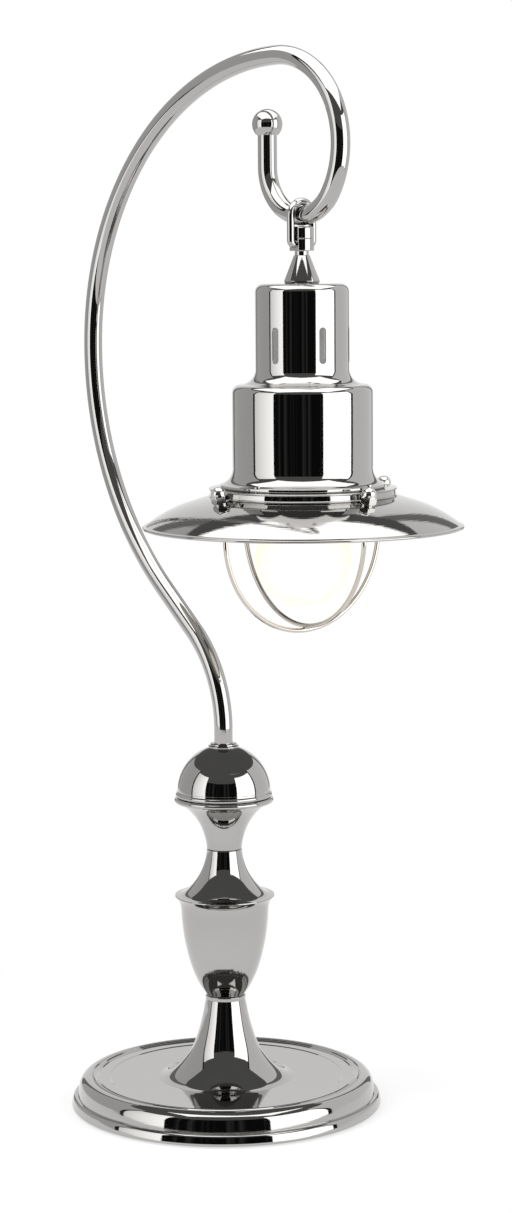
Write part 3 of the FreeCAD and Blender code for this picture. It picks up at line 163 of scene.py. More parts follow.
def spun(name, outline, middle=0.0, steps=256, sharp=35.0):
    """A turned or spun piece: the section (r, z) carried round the upright axis, so a point is
    (middle + r cos t, r sin t, z). The section is a loop, or a line from the axis to the axis."""
    section = np.asarray(outline, dtype=float) * MM
    keep = np.concatenate([[True], np.linalg.norm(np.diff(section, axis=0), axis=1) > 1e-7])
    section = section[keep]
    poled = section[0, 0] < 1e-9 and section[-1, 0] < 1e-9
    if not poled and np.linalg.norm(section[0] - section[-1]) < 1e-7:
        section = section[:-1]
    ahead = np.roll(section, -1, axis=0)
    if np.sum(section[:, 0] * ahead[:, 1] - ahead[:, 0] * section[:, 1]) < 0:
        section = section[::-1]
    body = section[1:-1] if poled else section
    turn = np.linspace(0, 2 * np.pi, steps, endpoint=False)
    across = middle + np.outer(body[:, 0], np.cos(turn))
    along = np.outer(body[:, 0], np.sin(turn))
    up = np.repeat(body[:, 1], steps).reshape(len(body), steps)
    spots = np.stack([across, along, up], axis=-1).reshape(-1, 3)
    rows = len(body)
    row, column = np.meshgrid(np.arange(rows - 1 if poled else rows), np.arange(steps), indexing="ij")
    here = (row * steps + column).ravel()
    side = (row * steps + (column + 1) % steps).ravel()
    above = ((row + 1) % rows * steps + column).ravel()
    corner = ((row + 1) % rows * steps + (column + 1) % steps).ravel()
    faces = [np.column_stack([here, side, corner, above])]
    if poled:
        low = len(spots)
        spots = np.vstack([spots, [middle, 0, section[0, 1]], [middle, 0, section[-1, 1]]])
        ring = np.arange(steps)
        beside = (ring + 1) % steps
        last = (rows - 1) * steps
        faces.append(np.column_stack([beside, ring, np.full(steps, low)]))
        faces.append(np.column_stack([last + ring, last + beside, np.full(steps, low + 1)]))
    return mesh_piece(name, spots, faces, sharp)


def noise_node(tree, kind, scale, detail, **inputs):
    """A noise texture with its plain settings."""
    node = tree.nodes.new("ShaderNodeTexNoise")
    node.noise_dimensions = kind
    node.inputs["Scale"].default_value = scale
    node.inputs["Detail"].default_value = detail
    for key, size in inputs.items():
        node.inputs[key.replace("_", " ")].default_value = size
    return node


def polish_group():
    """Traces that polishing and handling leave on plated metal: rings from the spinning lathe,
    a faint orange peel under the plating, and soft smudges that dull the gloss."""
    group = bpy.data.node_groups.new("lathe_polish", "ShaderNodeTree")
    face = group.interface
    for name, size in (("Ring Pitch", 900.0), ("Ring Depth", 0.02), ("Peel Depth", 0.02),
                       ("Least Roughness", 0.03), ("Smudge", 0.05)):
        socket = face.new_socket(name, in_out="INPUT", socket_type="NodeSocketFloat")
        socket.default_value = size
    face.new_socket("Tint", in_out="OUTPUT", socket_type="NodeSocketColor")
    face.new_socket("Roughness", in_out="OUTPUT", socket_type="NodeSocketFloat")
    face.new_socket("Normal", in_out="OUTPUT", socket_type="NodeSocketVector")
    link = group.links.new
    inside = group.nodes.new("NodeGroupInput")
    outside = group.nodes.new("NodeGroupOutput")
    place = group.nodes.new("ShaderNodeTexCoord")
    split = group.nodes.new("ShaderNodeSeparateXYZ")
    link(place.outputs["Object"], split.inputs[0])
    pitch = group.nodes.new("ShaderNodeMath")
    pitch.operation = "MULTIPLY"
    link(split.outputs["Z"], pitch.inputs[0])
    link(inside.outputs["Ring Pitch"], pitch.inputs[1])
    rings = noise_node(group, "1D", 1.0, 3.0, Roughness=0.6)
    link(pitch.outputs[0], rings.inputs["W"])
    peel = noise_node(group, "3D", 55.0, 2.0)
    link(place.outputs["Object"], peel.inputs["Vector"])
    ring_bump = group.nodes.new("ShaderNodeBump")
    ring_bump.inputs["Distance"].default_value = 0.0004
    link(inside.outputs["Ring Depth"], ring_bump.inputs["Strength"])
    link(rings.outputs["Fac"], ring_bump.inputs["Height"])
    peel_bump = group.nodes.new("ShaderNodeBump")
    peel_bump.inputs["Distance"].default_value = 0.001
    link(inside.outputs["Peel Depth"], peel_bump.inputs["Strength"])
    link(peel.outputs["Fac"], peel_bump.inputs["Height"])
    link(ring_bump.outputs["Normal"], peel_bump.inputs["Normal"])
    link(peel_bump.outputs["Normal"], outside.inputs["Normal"])
    cloud = noise_node(group, "3D", 24.0, 5.0, Roughness=0.65)
    link(place.outputs["Object"], cloud.inputs["Vector"])
    smear = group.nodes.new("ShaderNodeMapRange")
    smear.inputs["From Min"].default_value = 0.48
    smear.inputs["From Max"].default_value = 0.75
    link(cloud.outputs["Fac"], smear.inputs["Value"])
    dull = group.nodes.new("ShaderNodeMath")
    dull.operation = "MULTIPLY_ADD"
    link(smear.outputs["Result"], dull.inputs[0])
    link(inside.outputs["Smudge"], dull.inputs[1])
    link(inside.outputs["Least Roughness"], dull.inputs[2])
    link(dull.outputs[0], outside.inputs["Roughness"])
    tint = group.nodes.new("ShaderNodeMapRange")
    tint.inputs["To Min"].default_value = 0.985
    tint.inputs["To Max"].default_value = 1.0
    link(cloud.outputs["Fac"], tint.inputs["Value"])
    grey = group.nodes.new("ShaderNodeCombineColor")
    for channel in ("Red", "Green", "Blue"):
        link(tint.outputs["Result"], grey.inputs[channel])
    link(grey.outputs["Color"], outside.inputs["Tint"])
    return group


POLISH = polish_group()


def plated(name, colour, rings=(900.0, 0.02), peel=0.02, rough=0.03, smudge=0.05):
    """Metal with the lathe's and the buffing wheel's traces in its gloss."""
    finish = bpy.data.materials.new(name)
    finish.use_nodes = True
    tree = finish.node_tree
    shader = tree.nodes["Principled BSDF"]
    shader.inputs["Metallic"].default_value = 1.0
    traces = tree.nodes.new("ShaderNodeGroup")
    traces.node_tree = POLISH
    traces.inputs["Ring Pitch"].default_value = rings[0]
    traces.inputs["Ring Depth"].default_value = rings[1]
    traces.inputs["Peel Depth"].default_value = peel
    traces.inputs["Least Roughness"].default_value = rough
    traces.inputs["Smudge"].default_value = smudge
    mix = tree.nodes.new("ShaderNodeMix")
    mix.data_type = "RGBA"
    mix.blend_type = "MULTIPLY"
    mix.inputs["Factor"].default_value = 1.0
    mix.inputs["A"].default_value = (*colour, 1)
    link = tree.links.new
    link(traces.outputs["Tint"], mix.inputs["B"])
    link(mix.outputs["Result"], shader.inputs["Base Color"])
    link(traces.outputs["Roughness"], shader.inputs["Roughness"])
    link(traces.outputs["Normal"], shader.inputs["Normal"])
    return finish


CHROME_COLOUR = (0.445, 0.437, 0.427)
spun_chrome = plated("spun_chrome", CHROME_COLOUR)


def dress(piece, finish, body, slot, *stood_for):
    """Give a piece its finish, let it move with its body, and hide the parts it stands for."""
    piece.data.materials.clear()
    piece.data.materials.append(finish)
    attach(piece, body)
    if stood_for:
        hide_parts(*stood_for)
    return piece


foot_shell = spun("foot_shell", np.vstack([
    rounded([
        (97.4, 0.5, 0), (98.8, 0.5, 0.5), (101.6, 1.7, 1.6), (100.2, 8.2, 2.4), (96.9, 8.4, 0.3),
        (97.3, 9.0, 0.3), (95.2, 20.9, 7.2), (88.4, 20.9, 1.0), (87.5, 19.9, 0.25), (86.4, 21.2, 0.7),
        (84.9, 20.2, 0.25), (83.8, 20.7, 0.5), (82.9, 19.9, 0.3), (76.6, 19.9, 0.5), (75.6, 19.4, 0.5),
        (5.05, 19.4, 0),
    ]),
    rounded([
        (5.05, 17.9, 0), (86.6, 17.9, 4), (95.3, 17.4, 7), (95.3, 7.8, 1), (97.5, 5.6, 1),
        (100.0, 4.0, 1), (97.4, 0.5, 0),
    ], steps=4),
]))
dress(foot_shell, spun_chrome, "stand", "chrome", "base_shell")


# The trumpet: the lowest piece of the column, spun to a feathered edge that lies on the disc,
# with a small ledge at its top that the urn sits on.
trumpet_line = flowing([
    (44.0, 19.45), (41.4, 20.0), (38.4, 21.2), (35.3, 23.0), (30.8, 26.7), (27.0, 30.9),
    (22.3, 37.8), (18.8, 46.5), (17.1, 51.9), (15.7, 57.3), (14.5, 62.7), (13.5, 68.0), (12.8, 71.0),
])
trumpet = spun("trumpet", np.vstack([
    [(44.0, 19.4)], trumpet_line, rounded([
        (12.8, 71.0, 0), (13.1, 71.2, 0.1), (13.1, 73.5, 0.4), (5.05, 73.5, 0),
    ], steps=5), [(5.05, 71.1), (11.3, 71.1)], trumpet_line[::-1][4:-18] - [1.2, 0.3], [(39.0, 19.4)],
]))
dress(trumpet, spun_chrome, "stand", "chrome", "trumpet_stem")

# The urn: a spun bowl, plain and bright, with a thin flared rim.
urn_line = flowing([
    (12.3, 73.6), (13.9, 76.1), (15.8, 79.0), (18.4, 83.8), (20.8, 89.3), (22.7, 94.8), (24.2, 100.2),
    (25.4, 105.5), (26.5, 110.8), (27.3, 116.1), (27.9, 121.5), (28.3, 126.8), (28.6, 131.6),
    (29.2, 134.6), (30.5, 137.3), (32.1, 139.1),
])
urn = spun("urn", np.vstack([
    [(5.05, 73.5), (11.8, 73.5)], urn_line,
    rounded([(32.1, 139.1, 0), (32.4, 139.5, 0.2), (32.2, 140.0, 0.2), (30.1, 140.0, 0)], steps=4),
    urn_line[::-1][9:-9] - [1.3, 0], [(11.5, 75.1), (5.05, 75.1)],
]))
dress(urn, spun_chrome, "stand", "chrome", "urn_body")

# The neck: a bell that closes the urn and narrows to a seam under the cup.
neck_line = flowing([
    (32.3, 140.2), (28.6, 140.8), (24.7, 143.2), (20.3, 147.8), (16.4, 153.4), (13.8, 159.0),
    (12.3, 164.3), (11.5, 169.3),
])
neck = spun("neck", np.vstack([
    [(29.5, 140.0), (32.2, 140.0)], neck_line[:-1], ball_arc(169.9, 0.6, 0, 85, 10.9, 10), [(5.05, 170.5),
    (5.05, 168.5), (10.0, 168.5)], neck_line[::-1][5:-6] - [1.3, 0.2],
]))
dress(neck, spun_chrome, "stand", "chrome", "neck_flare")

# The cup under the dome: it flares out of the seam and is rolled to a bead at its rim.
cup_line = flowing([
    (11.4, 171.0), (11.7, 174.0), (12.9, 179.3), (14.9, 184.9), (17.9, 190.3), (22.4, 195.8),
    (27.4, 199.9), (29.7, 201.4),
])
cup = spun("cup", np.vstack([
    [(5.05, 170.5), (10.9, 170.5)], cup_line, ball_arc(203.1, 1.8, -75, 88, 30.5, 14),
    [(27.3, 204.9)], cup_line[::-1][8:-6] - [1.6, 0], [(10.0, 172.5), (5.05, 172.5)],
]))
dress(cup, spun_chrome, "stand", "chrome", "dome_cup")

# The dome: half a ball with a second bead at its rim, and a flat on top for the collar.
DOME_MIDDLE, DOME_RADIUS, DOME_BORE, DOME_RISE = 208.5, 30.3, 29.1, 28.5
top_angle = math.degrees(math.asin(DOME_RISE / DOME_RADIUS))
dome = spun("dome_ball", np.vstack([
    [(26.8, 204.9)], ball_arc(206.7, 1.8, -85, 62, 29.6, 14),
    ball_arc(DOME_MIDDLE, DOME_RADIUS, 0.6, top_angle, 0, 60),
    [(6.05, 237.0), (6.05, 235.0)], ball_arc(DOME_MIDDLE, DOME_BORE, 65.5, 0, 0, 24),
]))
dress(dome, spun_chrome, "stand", "chrome", "dome")

# The collar: a turned ring in two steps that holds the arm's foot on the dome.
collar = spun("collar", rounded([
    (6.05, 237.0, 0), (9.9, 237.0, 0.5), (9.9, 238.7, 0.5), (8.5, 238.75, 0.1), (8.5, 240.0, 0.5),
    (6.05, 240.0, 0), (6.05, 237.0, 0),
]), steps=128)
dress(collar, spun_chrome, "stand", "chrome", "collar_nut")


# The arm: one steel tube, 12 mm across, bent in five sweeps from the dome up the back, over the
# top and round the hook. It is plated after bending, and its far end carries a turned ball.

def bent_line(start, heading, runs, pitch=1.2):
    """Points and headings of a line in the XZ plane made of straight runs and tangent arcs.
    A run is (length, 0) or (radius, degrees), and positive degrees turn to the left."""
    spots, ways = [np.array([start])], [np.array([heading])]
    here, way = np.array(start, dtype=float), float(heading)
    for size, turn in runs:
        if turn == 0:
            along = np.linspace(0, size, max(2, int(size / 8) + 1))[1:, None]
            step = np.array([math.cos(math.radians(way)), math.sin(math.radians(way))])
            spots.append(here + along * step)
            ways.append(np.full(len(along), way))
            here = spots[-1][-1]
            continue
        side = 1.0 if turn > 0 else -1.0
        middle = here + side * size * np.array([-math.sin(math.radians(way)), math.cos(math.radians(way))])
        count = max(3, int(abs(turn) * math.pi / 180 * size / pitch), int(abs(turn) / 2.0))
        ahead = way + turn * np.linspace(0, 1, count + 1)[1:]
        lean = np.radians(ahead)
        spots.append(middle + side * size * np.column_stack([np.sin(lean), -np.cos(lean)]))
        ways.append(ahead)
        here, way = spots[-1][-1], way + turn
    return np.vstack(spots), np.concatenate(ways)


def piped(name, spots, ways, radii, steps=48, plane="XZ", middle=(0.0, 0.0)):
    """A round bar or tube along a flat line: at each point a circle square to the line, so a
    point is line + r (cos t side + sin t across). Radii are (outer, bore); a bore of 0 is solid."""
    outer, bore = radii
    line = np.asarray(spots, dtype=float)
    lean = np.radians(ways)
    side = np.column_stack([-np.sin(lean), np.cos(lean)])
    if bore > 0:
        line, side = np.vstack([line, line[::-1]]), np.vstack([side, side[::-1]])
        size = np.concatenate([np.full(len(spots), outer), np.full(len(spots), bore)])
    else:
        size = np.full(len(line), outer)
    turn = np.linspace(0, 2 * np.pi, steps, endpoint=False)
    flat_one = line[:, None, 0] + size[:, None] * side[:, None, 0] * np.cos(turn)
    flat_two = line[:, None, 1] + size[:, None] * side[:, None, 1] * np.cos(turn)
    across = size[:, None] * np.sin(turn) * (-1.0 if plane == "XZ" else 1.0)
    if plane == "XZ":
        spots3 = np.stack([flat_one + middle[0], across + middle[1], flat_two], axis=-1)
    else:
        spots3 = np.stack([across + middle[0], flat_one + middle[1], flat_two], axis=-1)
    rows = len(line)
    row, column = np.meshgrid(np.arange(rows if bore > 0 else rows - 1), np.arange(steps), indexing="ij")
    here = (row * steps + column).ravel()
    beside = (row * steps + (column + 1) % steps).ravel()
    above = ((row + 1) % rows * steps + column).ravel()
    corner = ((row + 1) % rows * steps + (column + 1) % steps).ravel()
    faces = [np.column_stack([here, beside, corner, above])]
    spots3 = spots3.reshape(-1, 3)
    if bore <= 0:
        ring = np.arange(steps)
        last = (rows - 1) * steps
        ends = spots3.reshape(rows, steps, 3)[[0, -1]].mean(axis=1)
        spots3 = np.vstack([spots3, ends])
        one = rows * steps
        faces.append(np.column_stack([(ring + 1) % steps, ring, np.full(steps, one)]))
        faces.append(np.column_stack([last + ring, last + (ring + 1) % steps, np.full(steps, one + 1)]))
    return mesh_piece(name, spots3 * MM, faces)


ARM_RUNS = [(21.0, 0), (83.0, 48), (39.5, 0), (209.0, -51), (183.0, -86), (55.0, -124), (30.4, -147),
            (19.5, 0)]
bent_chrome = plated("bent_chrome", CHROME_COLOUR, rings=(120.0, 0.0), peel=0.03, rough=0.025)
arm_spots, arm_ways = bent_line((0.0, 228.0), 90.0, ARM_RUNS)
TUBE_RADIUS, TUBE_BORE = 6.0, 4.5
arm = piped("arm", arm_spots, arm_ways, (TUBE_RADIUS, TUBE_BORE), steps=64)
dress(arm, bent_chrome, "stand", "chrome", "arm_tube")

ball_low, ball_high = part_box("hook_ball")
ball_x = (ball_low[0] + ball_high[0]) / 2
ball_top = ball_high[2] / MM
BALL_RADIUS, SEAT_RADIUS, PEG_RADIUS, PEG_LENGTH = 9.5, 6.6, 4.4, 10
seat_angle = math.degrees(math.acos(SEAT_RADIUS / BALL_RADIUS))
peg_foot = ball_low[2] / MM
ball = spun("ball", np.vstack([
    [(0, peg_foot), (PEG_RADIUS, peg_foot), (PEG_RADIUS, peg_foot + PEG_LENGTH)],
    ball_arc(ball_top - BALL_RADIUS, BALL_RADIUS, -seat_angle, 90, 0, 48),
]), middle=ball_x, steps=128)
dress(ball, spun_chrome, "stand", "chrome", "hook_ball")


# The bail: chromed spring wire bent over the hook, with its two ends turned in to be the pins
# that the head hangs on.
bail_low, bail_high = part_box("bail")
head_x = (bail_low[0] + bail_high[0]) / 2
BAIL_WIRE, ARCH_RADIUS, BEND_RADIUS, PIN_RUN, PIN_TIP = 2.4, 9.25, 2.6, 3.25, 3.4
pivot_up = bail_low[2] / MM + BAIL_WIRE
arch_run = bail_high[2] / MM - BAIL_WIRE - ARCH_RADIUS - pivot_up
bail_spots, bail_ways = bent_line((-PIN_TIP, pivot_up), 180.0, [
    (PIN_RUN, 0), (BEND_RADIUS, -90), (arch_run - BEND_RADIUS, 0), (ARCH_RADIUS, -180),
    (arch_run - BEND_RADIUS, 0), (BEND_RADIUS, -90), (PIN_RUN, 0),
], pitch=0.4)
wire_chrome = plated("wire_chrome", CHROME_COLOUR, rings=(120.0, 0.0), peel=0.015, rough=0.03)
bail = piped("bail_wire", bail_spots, bail_ways, (BAIL_WIRE, 0.0), steps=40, plane="YZ",
             middle=(head_x / MM, 0.0))
dress(bail, wire_chrome, "bail", "chrome", "bail")


# The lug and the bush over it: turned, milled flat on two sides, and crossed by the bail's pins.

def flattened(piece, half_width, above):
    """Mill two flats over a height: every point past the half width is pushed back onto the flat."""
    mesh = piece.data
    spots = np.empty(len(mesh.vertices) * 3)
    mesh.vertices.foreach_get("co", spots)
    spots = spots.reshape(-1, 3)
    high = spots[:, 2] > above
    spots[high, 1] = np.clip(spots[high, 1], -half_width, half_width)
    mesh.vertices.foreach_set("co", spots.ravel())
    mesh.set_sharp_from_angle(angle=math.radians(25))
    return piece


lug_low, lug_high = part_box("lug_block")
cone_low, cone_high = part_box("cone_finial")
lug_up = lug_high[2] / MM
cone_up = cone_high[2] / MM
LUG_TALL, FLAT_HALF, BUSH_TALL = 7.6, 6.5, 7.3
flats_foot = (lug_up - LUG_TALL - 0.05) * MM
lug = flattened(spun("lug", rounded([
    (2.6, lug_low[2] / MM, 0), (4.0, lug_low[2] / MM, 0.2), (4.0, cone_up, 0.05),
    (4.35, cone_up, 0.05), (4.35, lug_up - LUG_TALL, 0.3), (7.6, lug_up - LUG_TALL, 0.5),
    (7.6, lug_up, 0.5), (2.6, lug_up, 0), (2.6, lug_low[2] / MM, 0),
], steps=6), middle=head_x, steps=192), FLAT_HALF * MM, flats_foot)
dress(lug, spun_chrome, "head", "chrome", "lug_block")
bush = flattened(spun("bush", rounded([
    (2.6, lug_up, 0), (7.6, lug_up, 0.4), (7.6, lug_up + BUSH_TALL, 1.1), (2.6, lug_up + BUSH_TALL, 0),
    (2.6, lug_up, 0),
], steps=8), middle=head_x, steps=192), FLAT_HALF * MM, flats_foot)
dress(bush, spun_chrome, "head", "chrome", "cable_bush")

# The cone: turned bar, straight sided, with a thin edge where it sits on the cap.
cap_up = cone_low[2] / MM
cone = spun("cone", rounded([
    (4.05, cap_up, 0), (10.6, cap_up, 0.3), (11.1, cap_up + 1.6, 0.4), (4.85, cone_up, 0.4),
    (4.05, cone_up, 0), (4.05, cap_up, 0),
], steps=6), middle=head_x)
dress(cone, spun_chrome, "head", "chrome", "cone_finial")

# The cap: spun from one sheet in two drums with a rounded shoulder between them and a flared
# skirt, and six vent slots punched round the upper drum.
cap_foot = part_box("head_cap")[0][2] / MM
cap_tall = cap_up - cap_foot
cap = spun("cap", eased(stepped([
    (46.0, 0), (50.8, 0), (51.6, 0.9), (51.6, 2.3), (43.8, 13.5, 10.2, -1), (43.8, 59.5),
    (38.8, 64.1, 5.2, 1), (29.15, 72.6, 10.0, -1), (29.15, cap_tall - 5), (24.15, cap_tall, 5.0, 1),
    (4.05, cap_tall), (4.05, cap_tall - 1.2), (24.15, cap_tall - 1.2), (27.95, cap_tall - 5, 3.8, -1),
    (27.95, 72.1),
    (38.2, 63.4, 11.0, 1), (42.6, 58.9, 4.2, -1), (42.6, 13.5), (46.0, 3.0), (46.0, 0),
], cap_foot)), middle=head_x, steps=288)
slot_low, slot_high = cap_foot + 77.5, cap_foot + 99.9
SLOT_COUNT, SLOT_TURN, SLOT_HALF = 6, -78.4, 2.3
PUNCH_FROM, PUNCH_TO = 0.020, 0.036
cutters = []
for index in range(SLOT_COUNT):
    turn = math.radians(SLOT_TURN + 360 / SLOT_COUNT * index)
    arc = np.radians(np.linspace(0, 180, 13))
    ring = np.vstack([
        np.column_stack([SLOT_HALF * np.cos(arc), slot_high - SLOT_HALF + SLOT_HALF * np.sin(arc)]),
        np.column_stack([-SLOT_HALF * np.cos(arc), slot_low + SLOT_HALF - SLOT_HALF * np.sin(arc)]),
    ]) * MM
    out, side = np.array([math.cos(turn), math.sin(turn)]), np.array([-math.sin(turn), math.cos(turn)])
    rings = []
    for reach in (PUNCH_FROM, PUNCH_TO):
        flat = ring[:, :1] * side + out * reach
        rings.append(np.column_stack([flat[:, 0] + head_x, flat[:, 1], ring[:, 1]]))
    count = len(ring)
    here = np.arange(count)
    beside = (here + 1) % count
    cutters.append((np.vstack(rings), [[int(a), int(b), int(b + count), int(a + count)]
                                       for a, b in zip(here, beside)]
                    + [here[::-1].tolist(), (here + count).tolist()]))
spots = np.vstack([part[0] for part in cutters])
faces = [[corner + index * len(cutters[0][0]) for corner in face]
         for index, part in enumerate(cutters) for face in part[1]]
tool_mesh = bpy.data.meshes.new("slot_tool")
tool_mesh.from_pydata(spots.tolist(), [], faces)
tool = bpy.data.objects.new("slot_tool", tool_mesh)
bpy.context.scene.collection.objects.link(tool)
punch = cap.modifiers.new("slots", "BOOLEAN")
punch.operation = "DIFFERENCE"
punch.solver = "EXACT"
punch.object = tool
bpy.context.view_layer.update()
cut_mesh = bpy.data.meshes.new_from_object(cap.evaluated_get(bpy.context.evaluated_depsgraph_get()))
cap.modifiers.clear()
cap.data = cut_mesh
cut_mesh.set_sharp_from_angle(angle=math.radians(35))
bpy.data.objects.remove(tool)
dress(cap, spun_chrome, "head", "chrome", "head_cap")

# The cap's inner wall: bare grey metal. A weak glow of its own stands in for the bulb's light
# inside, so that the slots don't look black.
cap_inside = bpy.data.materials.new("cap_inside")
cap_inside.use_nodes = True
tree = cap_inside.node_tree
shader = tree.nodes["Principled BSDF"]
shader.inputs["Emission Strength"].default_value = 1.0
place = tree.nodes.new("ShaderNodeTexCoord")
streaks = noise_node(tree, "3D", 60.0, 3.0)
tone = tree.nodes.new("ShaderNodeMapRange")
tone.inputs["To Min"].default_value = 0.1
tone.inputs["To Max"].default_value = 0.24
tree.links.new(place.outputs["Object"], streaks.inputs["Vector"])
tree.links.new(streaks.outputs["Fac"], tone.inputs["Value"])
tree.links.new(tone.outputs["Result"], shader.inputs["Emission Color"])
shader.inputs["Roughness"].default_value = 0.6
shader.inputs["Base Color"].default_value = (0.4, 0.4, 0.39, 1)
cut_mesh.materials.append(cap_inside)
count = len(cut_mesh.polygons)
middles, normals = np.empty(count * 3), np.empty(count * 3)
cut_mesh.polygons.foreach_get("center", middles)
cut_mesh.polygons.foreach_get("normal", normals)
middles, normals = middles.reshape(-1, 3) - [head_x, 0, 0], normals.reshape(-1, 3)
inward = np.einsum("ij,ij->i", middles[:, :2], normals[:, :2]) < -0.3 * np.hypot(middles[:, 0], middles[:, 1])
cut_mesh.polygons.foreach_set("material_index", inward.astype(np.int32))

# The ring between the cap and the dish: turned, with a wide groove between two thin beads.
ring_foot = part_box("flange_ring")[0][2] / MM
ring = spun("flange", rounded([
    (46.0, ring_foot, 0), (58.4, ring_foot, 0.2), (58.8, ring_foot + 0.5, 0.35),
    (58.4, ring_foot + 1.0, 0.2), (57.9, ring_foot + 1.1, 0.1), (57.9, ring_foot + 4.1, 0.1),
    (58.4, ring_foot + 4.2, 0.15), (58.8, ring_foot + 4.7, 0.35), (58.4, ring_foot + 5.2, 0.2),
    (46.0, ring_foot + 5.2, 0), (46.0, ring_foot, 0),
], steps=6), middle=head_x, steps=288)
dress(ring, spun_chrome, "head", "chrome", "flange_ring")

# The dish: a shallow reflector spun from sheet, with a rolled rim. The outside is plated, and
# the wheel's marks show as fine rings where it mirrors the edge of a bright and a dark field.
dish_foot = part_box("dish")[0][2] / MM
dish_chrome = plated("dish_chrome", CHROME_COLOUR, rings=(1400.0, 0.06), peel=0.05)
dish = spun("reflector", eased(stepped([
    (46.0, 19.3), (58.4, 19.3), (70.7, 15.57), (97.4, 1.5, 81.0, -1), (98.6, 0.4), (99.7, 0),
    (100.6, 0.9, 1.0, 1), (99.7, 1.9, 1.0, 1), (98.2, 2.4), (71.0, 16.57, 82.0, 1),
    (58.8, 20.3), (46.0, 20.3), (46.0, 19.3),
], dish_foot, 0.5), 0.4), middle=head_x, steps=360)
dress(dish, dish_chrome, "head", "chrome", "dish")

# The guard: two hoops of chromed wire crossed under the bulb, each brazed into studs that pass
# through the dish.
GUARD_WIRE, GUARD_TURN, GUARD_STEP = 1.5, 84.0, 3.05
HOOP_RADIUS, HOOP_BEND, STUD_LEAN, TIP_RUN = 60.3, 15.0, 17.0, 6.0
guard_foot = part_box("guard_hoop_low")[0][2] / MM + GUARD_WIRE


def hoop(name, low, turn):
    """One guard hoop: half a ring, two short legs, and two ends leaning out to the studs."""
    corner = dish_foot + 7.71
    bend_run = 2.242
    lean = math.radians(STUD_LEAN)
    leg = corner - bend_run - (low + HOOP_RADIUS)
    spots, ways = bent_line((HOOP_RADIUS + bend_run * math.sin(lean) + TIP_RUN * math.sin(lean),
                             corner + (bend_run + TIP_RUN) * math.cos(lean)), -107.0, [
        (TIP_RUN, 0), (HOOP_BEND, STUD_LEAN), (leg, 0), (HOOP_RADIUS, -180), (leg, 0),
        (HOOP_BEND, STUD_LEAN), (TIP_RUN, 0)], pitch=1.5)
    piece = piped(name, spots, ways, (GUARD_WIRE, 0.0), steps=32)
    piece.data.transform(Matrix.Translation((head_x, 0, 0)) @ Matrix.Rotation(math.radians(turn), 4, "Z"))
    return piece


guard_chrome = plated("guard_chrome", (0.60, 0.56, 0.51), rings=(120.0, 0.0), peel=0.015, rough=0.05)
guard_low = hoop("guard_low", guard_foot, GUARD_TURN)
dress(guard_low, guard_chrome, "head", "chrome", "guard_hoop_low")
guard_high = hoop("guard_high", guard_foot + GUARD_STEP, GUARD_TURN + 90)
dress(guard_high, guard_chrome, "head", "chrome", "guard_hoop_high")


# Studs, washers and acorn nuts of the guard: four of each, turned and milled, leaning with
# the dish.

def at_studs(name, part_spots, part_faces, sharp=30.0):
    """Four copies of a small part, drawn on an upright axis, stood on the dish at the studs."""
    lean = math.radians(STUD_LEAN)
    up = dish_foot + 18.894
    all_spots, blocks = [], []
    for index in range(4):
        way = math.radians(GUARD_TURN + 90 * index)
        tip = np.array([[math.cos(lean), 0, math.sin(lean)], [0, 1, 0], [-math.sin(lean), 0, math.cos(lean)]])
        turn = np.array([[math.cos(way), -math.sin(way), 0], [math.sin(way), math.cos(way), 0], [0, 0, 1]])
        moved = (part_spots @ tip.T + [63.4, 0, up]) @ turn.T
        all_spots.append(moved * MM + [head_x, 0, 0])
        blocks += [block + index * len(part_spots) for block in part_faces]
    return mesh_piece(name, np.vstack(all_spots), blocks, sharp)


def acorn(steps=96):
    """Acorn nut: radius(t, z) is the smaller of the hexagon's and the chamfer's, then a ball."""
    turn = np.linspace(0, 2 * np.pi, steps, endpoint=False)
    flat = 4.8 / np.cos((turn + np.pi / 6) % (np.pi / 3) - np.pi / 6)
    levels = [(0.9, 5.0), (1.3, 5.5), (1.31, 9.0), (4.6, 9.0), (4.8, 5.5), (5.3, 5.05), (5.8, 4.6)]
    rows = [np.column_stack([np.minimum(flat, top) * np.cos(turn), np.minimum(flat, top) * np.sin(turn),
                             np.full(steps, up)]) for up, top in levels]
    for angle in np.radians(np.linspace(8, 84, 12)):
        size = 4.6 * math.cos(angle)
        rows.append(np.column_stack([size * np.cos(turn), size * np.sin(turn),
                                     np.full(steps, 6.2 + 4.6 * math.sin(angle))]))
    spots = np.vstack(rows + [[[0, 0, 0.9]], [[0, 0, 10.8]]])
    count = len(rows)
    row, column = np.meshgrid(np.arange(count - 1), np.arange(steps), indexing="ij")
    beside = (column + 1) % steps
    faces = np.column_stack([(row * steps + column).ravel(), (row * steps + beside).ravel(),
                             ((row + 1) * steps + beside).ravel(), ((row + 1) * steps + column).ravel()])
    ring = np.arange(steps)
    end = (count - 1) * steps
    bottom = np.column_stack([(ring + 1) % steps, ring, np.full(steps, count * steps)])
    top = np.column_stack([end + ring, end + (ring + 1) % steps, np.full(steps, count * steps + 1)])
    return spots, [faces, bottom, top]


nuts = at_studs("acorns", *acorn())
nut_nickel = plated("nut_nickel", (0.62, 0.61, 0.59), rings=(120.0, 0.0), rough=0.17, smudge=0.1)
dress(nuts, nut_nickel, "head", "chrome", "acorn_nuts")


